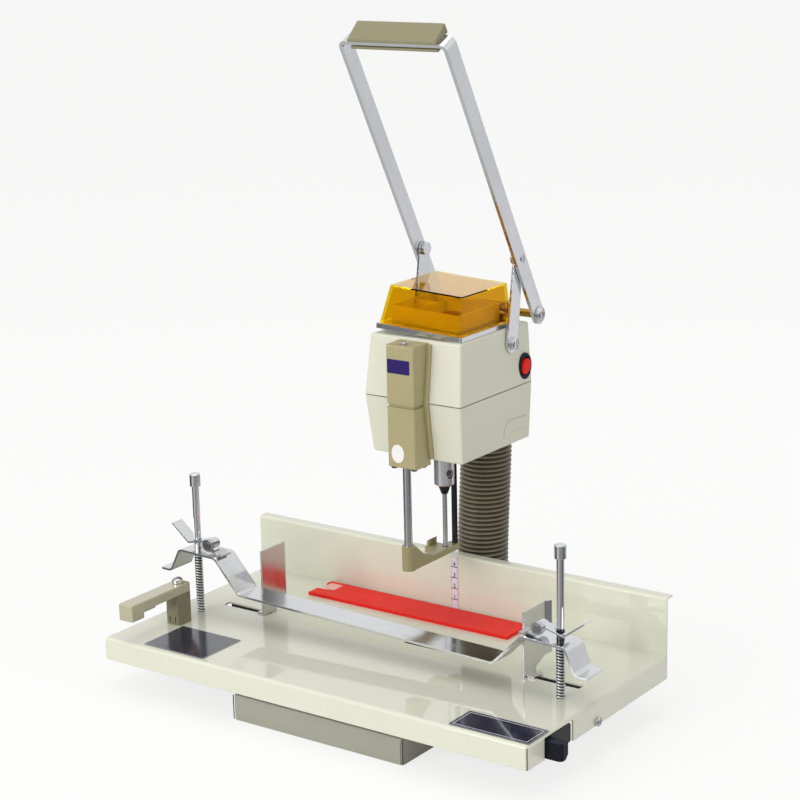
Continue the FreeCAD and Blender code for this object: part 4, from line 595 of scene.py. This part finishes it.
def coilTree():
    tree, given, out = geometryTree("springCoil", ("Turns", "Float"), ("Coil Radius", "Float"),
                                    ("Wire Radius", "Float"), ("Length", "Float"), ("Foot", "Vector"),
                                    ("Steps", "Int"))
    spiral = addNode(tree, "GeometryNodeCurveSpiral", [
        ("Resolution", given["Steps"]), ("Rotations", given["Turns"]), ("Start Radius", given["Coil Radius"]),
        ("End Radius", given["Coil Radius"]), ("Height", given["Length"])]).outputs[0]
    wire = addNode(tree, "GeometryNodeCurvePrimitiveCircle", [("Radius", given["Wire Radius"]),
                                                              ("Resolution", wireSides)]).outputs[0]
    tube = addNode(tree, "GeometryNodeCurveToMesh", [("Curve", spiral), ("Profile Curve", wire),
                                                     ("Fill Caps", True)]).outputs[0]
    placed = addNode(tree, "GeometryNodeSetPosition", [("Geometry", tube), ("Offset", given["Foot"])])
    return closeTree(tree, given, out, placed.outputs[0])


coil = coilTree()


def springOver(name, low, high, s, material):
    length = high.z - low.z - 2 * s["wire"]
    spring = grow(name, coil, {
        "Turns": length / s["pitch"], "Coil Radius": (high.x - low.x) / 2 - s["wire"],
        "Wire Radius": s["wire"], "Length": length, "Steps": s["stepsPerTurn"], "Material": material,
        "Foot": ((low.x + high.x) / 2, (low.y + high.y) / 2, low.z + s["wire"])})
    spring.data.shade_smooth()
    return spring


zincSettings = dict(finishSettings["chrome_plate"], colour=(0.82, 0.88, 0.88), rough=0.28)
zinc = makeFinish("SpringZinc", zincSettings)
clampSprings = joinMeshes("clampSprings", [
    springOver("clampSpring" + side, *nodeSpan("clamp_springs", side == "Right"), clampSpring, zinc)
    for side in ("Left", "Right")])
low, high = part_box("clamp_springs")
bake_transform(clampSprings)
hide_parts("clamp_springs")
low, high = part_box("return_spring")
returnSpring = springOver("returnSpring", low, high, columnSpring, finishes["polished_steel"])
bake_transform(returnSpring)
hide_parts("return_spring")
print("springs wound")

# corrugated dust hose; it leans and bows a little on its way down
hose = {"outer": 22.2 * mm, "bottom": 28.2 * mm, "top": 196.5 * mm, "pitch": 4.0 * mm, "depth": 2.1 * mm,
        "wall": 1.3 * mm, "axis": (0.0, 65.0 * mm), "lean": (-3.24 * mm, -2.35 * mm),
        "bow": (-1.5 * mm, -1.1 * mm), "around": 72, "perRidge": 8, "crestPower": 1.1, "groovePower": 0.8,
        "bowPower": 1.6}


def hoseTree(s):
    tree, given, out = geometryTree(
        "corrugatedHose", ("Radius", "Float"), ("Length", "Float"), ("Ridges", "Float"),
        ("Ridge Depth", "Float"), ("Rows", "Int"), ("Around", "Int"), ("Axis", "Vector"),
        ("Lean", "Vector"), ("Bow", "Vector"))
    calc = partial(mathNode, tree)
    tube = addNode(tree, "GeometryNodeMeshCylinder", [
        ("Vertices", given["Around"]), ("Side Segments", given["Rows"]), ("Radius", given["Radius"]),
        ("Depth", given["Length"])], fill_type="NONE").outputs["Mesh"]
    x, y, z = axesOf(tree, addNode(tree, "GeometryNodeInputPosition").outputs[0])
    height = calc("ADD", calc("DIVIDE", z, given["Length"]), 0.5)
    wave = calc("SINE", calc("MULTIPLY", height, calc("MULTIPLY", given["Ridges"], 2 * math.pi)))
    crest = calc("POWER", calc("MULTIPLY", calc("ADD", wave, 1.0), 0.5), s["crestPower"])
    inward = calc("MULTIPLY", calc("SUBTRACT", crest, 1.0), given["Ridge Depth"])
    size = calc("DIVIDE", calc("ADD", given["Radius"], inward), given["Radius"])
    dropping = calc("SUBTRACT", 1.0, height)
    bulge = calc("SINE", calc("MULTIPLY", calc("POWER", dropping, s["bowPower"]), math.pi))
    place = addNode(tree, "ShaderNodeCombineXYZ", [
        ("X", calc("MULTIPLY", x, size)), ("Y", calc("MULTIPLY", y, size)), ("Z", z)]).outputs[0]
    leaning = vectorNode(tree, "SCALE", (0, given["Lean"]), ("Scale", dropping))[0]
    bowing = vectorNode(tree, "SCALE", (0, given["Bow"]), ("Scale", bulge))[0]
    for shift in (leaning, bowing, given["Axis"]):
        place = vectorNode(tree, "ADD", (0, place), (1, shift))[0]
    # how deep each point lies in a groove; the finish turns it into painted shade
    groove = calc("POWER", calc("SUBTRACT", 1.0, crest), s["groovePower"])
    noted = addNode(tree, "GeometryNodeStoreNamedAttribute", [
        ("Geometry", tube), ("Name", "groove"), ("Value", groove)], data_type="FLOAT", domain="POINT")
    placed = addNode(tree, "GeometryNodeSetPosition", [("Geometry", noted.outputs[0]), ("Position", place)])
    return closeTree(tree, given, out, placed.outputs[0])


def makeHose(s):
    length = s["top"] - s["bottom"]
    ridges = round(length / s["pitch"])
    skin = grow("hoseSkin", hoseTree(s), {
        "Radius": s["outer"], "Length": length, "Ridges": float(ridges), "Ridge Depth": s["depth"],
        "Rows": ridges * s["perRidge"], "Around": s["around"],
        "Axis": (*s["axis"], (s["top"] + s["bottom"]) / 2), "Lean": (*s["lean"], 0.0),
        "Bow": (*s["bow"], 0.0), "Material": finishes["hose_rubber"]})
    wall = skin.modifiers.new("wall", "SOLIDIFY")
    wall.thickness, wall.offset = s["wall"], -1
    made = newObject("dustHose", settled(skin))
    made.data.shade_smooth()
    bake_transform(made)
    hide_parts("dust_hose")


makeHose(hose)
print("hose made")

# ruler marks
ruler = {"left": -6.9 * mm, "right": 0.6 * mm, "face": 17.1 * mm, "bottom": 47.5 * mm, "top": 95.0 * mm,
         "raised": 0.04 * mm, "thin": 0.2 * mm, "bold": 0.75 * mm, "edge": 0.45 * mm,
         "firstNumber": 56.4 * mm, "numbers": 4, "numberStep": 9.75 * mm, "numberLift": 2.4 * mm,
         "numeral": 4.86 * mm, "numeralHeight": 0.02 * mm, "numeralWeight": 0.12 * mm,
         "ticks": [  # length, one in how many, on which edges, thickness
             (1.2 * mm, 1, ("left", "right"), "thin"), (1.7 * mm, 5, ("left", "right"), "thin"),
             (6.9 * mm, 10, ("left",), "bold")]}


def tickTree():
    tree, given, out = geometryTree("rulerTicks", ("Count", "Int"), ("Step", "Float"), ("Start", "Vector"),
                                    ("Size", "Vector"))
    rise = addNode(tree, "ShaderNodeCombineXYZ", [("Z", given["Step"])]).outputs[0]
    line = addNode(tree, "GeometryNodeMeshLine", [
        ("Count", given["Count"]), ("Start Location", given["Start"]), ("Offset", rise)], mode="OFFSET")
    bar = addNode(tree, "GeometryNodeMeshCube", [("Size", given["Size"])])
    put = addNode(tree, "GeometryNodeInstanceOnPoints", [
        ("Points", line.outputs[0]), ("Instance", bar.outputs[0])])
    return closeTree(tree, given, out, put.outputs[0])


def makeRulerMarks(s):
    tree, y, first = tickTree(), s["face"] - s["raised"] / 2, s["firstNumber"]
    rows = []
    for size, every, edges, thick in s["ticks"]:
        step = s["numberStep"] / 10 * every
        start = first - math.floor((first - s["bottom"]) / step) * step
        for edge in edges:
            x = s[edge] + (size / 2 if edge == "left" else -size / 2)
            rows.append(grow("rulerRow", tree, {
                "Count": int((s["top"] - start) / step) + 1, "Step": step, "Start": (x, y, start),
                "Size": (size, s["raised"], s[thick]), "Material": inks["darkInk"]}))
    bm = bmesh.new()
    for x in (s["left"], s["right"] - s["edge"]):
        slab(bm, x, x + s["edge"], s["face"] - s["raised"], s["face"], s["bottom"], s["top"])
    rows.append(newObject("rulerEdges", meshFromBmesh("rulerEdges", bm)))
    marks = joinMeshes("rulerMarks", rows)
    marks.data.shade_flat()
    finishPiece(marks, "table")


def makeRulerNumbers(s):
    bm = bmesh.new()
    x, y = (s["left"] + s["right"]) / 2, s["face"] - s["raised"] / 2
    for i in range(s["numbers"]):
        curve = bpy.data.curves.new("numeral", "FONT")
        curve.body = str(i + 1)
        curve.size, curve.extrude, curve.offset = s["numeral"], s["numeralHeight"], s["numeralWeight"]
        curve.align_x = curve.align_y = "CENTER"
        mesh = settled(newObject("numeral", curve))
        place = Matrix.Translation((x, y, s["firstNumber"] + i * s["numberStep"] + s["numberLift"]))
        mesh.transform(place @ Matrix.Rotation(math.radians(90), 4, "X"))
        bm.from_mesh(mesh)
    paintedPiece("rulerNumbers", bm, inks["darkInk"], "table")


makeRulerMarks(ruler)
makeRulerNumbers(ruler)
print("ruler marked")

# bare plates, films and dark seams laid on the parts
labelLines = {"inset": 2.6 * mm, "width": 0.7 * mm, "rimInset": 0.3 * mm, "rimWidth": 0.35 * mm,
              "raised": 0.05 * mm, "sunk": 0.01 * mm}


def frameLine(bm, low, high, inset, width, z0, z1):
    x0, x1, y0, y1 = low.x + inset, high.x - inset, low.y + inset, high.y - inset
    slab(bm, x0, x1, y0, y0 + width, z0, z1)
    slab(bm, x0, x1, y1 - width, y1, z0, z1)
    slab(bm, x0, x0 + width, y0 + width, y1 - width, z0, z1)
    slab(bm, x1 - width, x1, y0 + width, y1 - width, z0, z1)


def makeLabelLines(s):
    bm = bmesh.new()
    for right in (False, True):
        low, high = nodeSpan("label_plates", right)
        heights = (high.z - s["sunk"], high.z + s["raised"])
        frameLine(bm, low, high, s["rimInset"], s["rimWidth"], *heights)
        if right:
            frameLine(bm, low, high, s["inset"], s["width"], *heights)
    paintedPiece("labelLines", bm, inks["paleInk"], "table")


makeLabelLines(labelLines)


def roundedOutline(half, tall, corner, steps=6):
    points = []
    for cx, cz, turn in ((half - corner, tall - corner, 0), (corner - half, tall - corner, 90),
                         (corner - half, corner - tall, 180), (half - corner, corner - tall, 270)):
        for i in range(steps + 1):
            a = math.radians(turn + 90 * i / steps)
            points.append((cx + corner * math.cos(a), cz + corner * math.sin(a)))
    return points


coverPlates = {
    "thick": 0.25 * mm, "castFrom": -0.2,
    "rings": ((1.0, -0.3), (1.0, 0.7), (0.97, 1.0), (0.5, 1.0)),  # share of the width and of the thickness
    "forms": [  # name, middle across and up, outline, ink
        ("coverPlate", (-1.3 * mm, 277.8 * mm), roundedOutline(10.9 * mm, 5.8 * mm, 0.8 * mm), "blueFilm"),
        ("coverDisc", (-3.6 * mm, 205.1 * mm), oval(6.2 * mm, 7.7 * mm, 48), "whiteFilm")]}


def makeCoverPlates(s):
    skin = surfaceOf("front_cover")
    for name, (cx, cz), outline, ink in s["forms"]:
        bm = bmesh.new()
        rings = []
        for share, raised in s["rings"]:
            starts = [Vector((cx + x * share, s["castFrom"], cz + z * share)) for x, z in outline]
            hits = [skin.ray_cast(start, Vector((0, 1, 0)))[0] for start in starts]
            rings.append([bm.verts.new((p.x, p.y - s["thick"] * raised, p.z)) for p in hits])
        closeEnds(bm, rings)
        paintedPiece(name, bm, inks[ink], "head")


makeCoverPlates(coverPlates)

padTape = {"x": (-130.4 * mm, -117.6 * mm), "y": (-4.5 * mm, 9.4 * mm), "z": (49.49 * mm, 49.62 * mm)}
seams = {  # body, corners across, depth, half width, lower and upper end, in mm
    "lipSeams": ("table", [201.55], -192.38, 0.28, (27.8, 45.0)),
    "baseSeams": ("base", [-83.9, 83.9], -184.4, 0.3, (0.4, 21.3))}
slabPiece("padTape", [(*padTape["x"], *padTape["y"], *padTape["z"])], inks["paleTape"], "table")
for name, (body, places, y, half, ends) in seams.items():
    boxes = [[side * mm for side in (x - half, x + half, y - half, y + half, *ends)] for x in places]
    slabPiece(name, boxes, inks["darkInk"], body)
print("plates and films laid")

# fastener heads, set on the plain heads of the bolts
heads = {  # node, body, slot, dome as (radius, height), drive as (shape, radius, depth), in mm
    "sideScrewHeads": ("side_screws", "table", "chrome_plate",
                       [(3.7, -0.9), (3.7, 0.0), (3.3, 0.45), (2.3, 0.75)], ("cross", 2.2, 0.8)),
    "linkBoltHeads": ("link_bolts", "links", "chrome_plate",
                      [(4.85, -1.1), (4.85, 0.0), (4.5, 0.4), (3.4, 0.8), (2.2, 0.95)], ("slot", 2.1, 0.7)),
    "pivotCaps": ("pivot_bolts", "base", "chrome_plate",
                  [(5.3, -0.5), (5.3, 0.2), (4.9, 0.7), (4.0, 1.1), (3.1, 1.3)], ("hex", 2.9, 1.1)),
    "linkRivetHeads": ("link_rivets", "handle", "chrome_plate",
                       [(3.2, -0.2), (3.2, 0.15), (2.6, 0.45), (1.4, 0.6)], ("round", 1.0, 0.15)),
}
drives = {"cross": (math.pi / 2, 0.30), "slot": (math.pi, 0.22)}  # angle between arms, half width of an arm
driveTaper = 0.92  # width of a drive at its floor against its mouth
driveDip = 1.15  # depth in its middle against the depth at its wall
headSharpAbove = 32  # degrees between faces that stay apart


def headMesh(name, profile, recess, around=48):  # a turned head along +Z, with its drive cut in the middle
    shape, size, depth = recess
    bm = bmesh.new()

    def ring(radius, z, drive=None):
        verts = []
        for i in range(around):
            a = 2 * math.pi * i / around
            r = radius
            if drive == "hex":
                r = radius * math.cos(math.pi / 6) / math.cos((a % (math.pi / 3)) - math.pi / 6)
            if drive in drives:
                gap, arm = drives[drive]
                off = abs((a + gap / 2) % gap - gap / 2)
                r = min(radius, arm * radius / max(math.sin(off), 1e-6))
            verts.append(bm.verts.new((r * math.cos(a), r * math.sin(a), z)))
        return verts

    top = profile[-1][1]
    rings = [ring(r, z) for r, z in profile]
    rings += [ring(size, top, shape), ring(size * driveTaper, top - depth, shape)]
    bridge(bm, rings)
    tip = bm.verts.new((0, 0, top - depth * driveDip))
    for a, b in zip(rings[-1], rings[-1][1:] + rings[-1][:1]):
        bm.faces.new((a, b, tip))
    return newObject(name, meshFromBmesh(name, bm))


def fastenerTree():
    tree, given, out = geometryTree("fastenerRow", ("Head", "Object"), ("Turn", "Vector"))
    head = addNode(tree, "GeometryNodeObjectInfo", [("Object", given["Head"])]).outputs["Geometry"]
    put = addNode(tree, "GeometryNodeInstanceOnPoints", [
        ("Points", given["Geometry"]), ("Instance", head), ("Rotation", given["Turn"])])
    return closeTree(tree, given, out, put.outputs[0])


def pointMesh(name, points):
    mesh = bpy.data.meshes.new(name)
    mesh.from_pydata(points, [], [])
    return mesh


def makeHeads(table):
    tree = fastenerTree()
    for name, (node, body, slot, profile, (shape, size, depth)) in table.items():
        head = headMesh(name + "Form", [(r * mm, z * mm) for r, z in profile], (shape, size * mm, depth * mm))
        rows = []
        for right, turn in ((True, math.pi / 2), (False, -math.pi / 2)):
            low, high = nodeSpan(node, right)
            face = (high.x if right else low.x, (low.y + high.y) / 2, (low.z + high.z) / 2)
            values = {"Head": head, "Turn": (0, turn, 0), "Material": finishes[slot]}
            rows.append(grow(name, tree, values, source=pointMesh(name, [face])))
        piece = joinMeshes(name, rows)
        piece.data.set_sharp_from_angle(angle=math.radians(headSharpAbove))
        bpy.data.objects.remove(head)
        finishPiece(piece, body)


makeHeads(heads)
print("fasteners set")

# round rocker switch on the right side of the case; each ring is its x in mm and its share of the width
switch = {"middle": (53.0 * mm, 261.0 * mm), "flange": (8.9 * mm, 11.2 * mm), "well": (6.9 * mm, 8.0 * mm),
          "flangeRings": [(46.0, 1.0), (47.6, 1.0), (48.2, 0.96), (48.4, 0.90), (48.2, 0.82)],
          "wellRings": [(47.6, 1.0), (44.2, 0.97)], "cap": (6.3 * mm, 6.9 * mm),
          "capRings": [(44.6, 0.90), (48.0, 1.0), (48.9, 0.97), (49.5, 0.84), (49.9, 0.55), (50.05, 0.25)],
          "tilt": 8.0, "pivot": 46.0 * mm, "around": 64, "sharpAbove": 40}


def makeSwitch(s):
    cy, cz = s["middle"]

    def rings(bm, key):
        rim = oval(*s[key], s["around"])
        return [[bm.verts.new((x * mm, cy + y * share, cz + z * share)) for y, z in rim]
                for x, share in s[key + "Rings"]]

    bm = bmesh.new()
    closeEnds(bm, rings(bm, "flange") + rings(bm, "well"))
    paintedPiece("switchSurround", bm, finishes["black_plastic"], "head", ["switch_bezel"],
                 s["sharpAbove"])
    bm = bmesh.new()
    closeEnds(bm, rings(bm, "cap"))
    bmesh.ops.rotate(bm, verts=bm.verts, cent=Vector((s["pivot"], cy, cz)),
                     matrix=Matrix.Rotation(math.radians(s["tilt"]), 3, "Y"))
    paintedPiece("switchCap", bm, finishes["red_plastic"], "rocker", ["switch_rocker"],
                 s["sharpAbove"])


makeSwitch(switch)

# pressed line on the right side of the lower case, drawn as a strip of painted shade; its path runs back and
# up in mm
caseLine = {"path": [(22.3, 198.0), (22.5, 206.0), (22.9, 212.5), (24.6, 216.4), (28.6, 218.6), (34.0, 219.1),
                     (46.0, 218.6), (58.0, 217.9), (64.5, 217.5)],
            "width": 0.55 * mm, "proud": 0.03 * mm, "sunk": 0.3 * mm, "castFrom": 0.08}


def makeCaseLine(s):
    skin = surfaceOf("lower_case")
    bm = bmesh.new()
    rows = []
    path = [Vector((y * mm, z * mm)) for y, z in s["path"]]
    for i, spot in enumerate(path):
        along = (path[min(i + 1, len(path) - 1)] - path[max(i - 1, 0)]).normalized()
        side = Vector((-along.y, along.x)) * s["width"] / 2
        (y0, z0), (y1, z1) = spot - side, spot + side
        x0, x1 = (skin.ray_cast(Vector((s["castFrom"], y, z)), Vector((-1, 0, 0)))[0].x
                  for y, z in ((y0, z0), (y1, z1)))
        rows.append([bm.verts.new(p) for p in ((x0 + s["proud"], y0, z0), (x1 + s["proud"], y1, z1),
                                               (x1 - s["sunk"], y1, z1), (x0 - s["sunk"], y0, z0))])
    closeEnds(bm, rows)
    paintedPiece("caseLine", bm, inks["caseShade"], "head")


makeCaseLine(caseLine)

# the chuck's screw hole, a dark disc of painted shade laid on the chuck
chuckHole = {"direction": -20.0, "height": 175.2 * mm, "half": (3.1 * mm, 4.3 * mm), "proud": 0.06 * mm,
             "around": 40, "castFrom": 0.03,
             "rings": ((1.0, -0.5), (1.0, 1.0), (0.6, 1.0), (0.25, 1.0))}  # share of width, of height above


def makeChuckHole(s):
    skin = surfaceOf("chuck")
    a = math.radians(s["direction"])
    out, level = Vector((math.cos(a), math.sin(a), 0)), Vector((-math.sin(a), math.cos(a), 0))
    bm = bmesh.new()
    rings = []
    for share, lift in s["rings"]:
        starts = [out * s["castFrom"] + level * (x * share) + Vector((0, 0, s["height"] + z * share))
                  for x, z in oval(*s["half"], s["around"])]
        hits = [skin.ray_cast(start, -out)[0] for start in starts]
        rings.append([bm.verts.new(hit + out * s["proud"] * lift) for hit in hits])
    closeEnds(bm, rings)
    paintedPiece("chuckScrewHole", bm, inks["holeShade"], "spindle")


makeChuckHole(chuckHole)
print("switch, case line and chuck hole made")

# dark strips of painted shade under the table, behind the two stop slots
slotShades = {"spans": [(-190 * mm, -104 * mm), (96 * mm, 182 * mm)], "y": (-58.5 * mm, -56.9 * mm),
        "z": (29.5 * mm, 45.2 * mm)}
slabPiece("slotRibs", [(*span, *slotShades["y"], *slotShades["z"]) for span in slotShades["spans"]], finishes["dark_steel"],
          "table")

# loose rivets in the tray's cells
rivets = {"seed": 7, "columns": 3, "rows": 3, "radius": 1.5 * mm, "length": 5.0 * mm, "flange": 2.4 * mm,
          "rim": 0.6 * mm, "recess": ("round", 0.8 * mm, 1.0 * mm), "around": 16, "gap": 0.1 * mm,
          "turnLow": (1.35, -0.15, 0.0), "turnHigh": (1.75, 0.15, 6.28), "castFrom": 0.33,
          "cells": [(-28 * mm, -11 * mm, -20 * mm, 1 * mm), (-28 * mm, -11 * mm, 11 * mm, 32 * mm)]}


def rivetTree(s):
    tree, given, out = geometryTree("looseRivets", ("Head", "Object"), ("Seed", "Int"))
    head = addNode(tree, "GeometryNodeObjectInfo", [("Object", given["Head"])]).outputs["Geometry"]
    turn = addNode(tree, "FunctionNodeRandomValue", [
        ("Seed", given["Seed"]), ("Min", s["turnLow"]), ("Max", s["turnHigh"])], data_type="FLOAT_VECTOR")
    put = addNode(tree, "GeometryNodeInstanceOnPoints", [
        ("Points", given["Geometry"]), ("Instance", head), ("Rotation", turn.outputs[0])])
    return closeTree(tree, given, out, put.outputs[0])


def makeRivets(s):
    skin = surfaceOf("parts_tray")
    points = []
    for x0, x1, y0, y1 in s["cells"]:
        for i in range(s["columns"] * s["rows"]):
            row, column = divmod(i, s["columns"])
            px = x0 + (x1 - x0) * (column + 0.5) / s["columns"]
            py = y0 + (y1 - y0) * (row + 0.5) / s["rows"]
            bottom = skin.ray_cast(Vector((px, py, s["castFrom"])), Vector((0, 0, -1)))[0].z
            points.append((px, py, bottom + s["flange"] + s["gap"]))
    top = s["length"] / 2
    under = top - s["rim"]
    profile = [(s["radius"], -top), (s["radius"], under), (s["flange"], under), (s["flange"], top)]
    form = headMesh("rivetForm", profile, s["recess"], s["around"])
    values = {"Head": form, "Seed": s["seed"], "Material": inks["whiteFilm"]}
    piece = grow("looseRivets", rivetTree(s), values, source=pointMesh("rivetPlaces", points))
    piece.data.shade_flat()
    bpy.data.objects.remove(form)
    finishPiece(piece, "head")


makeRivets(rivets)
print("rivets laid")
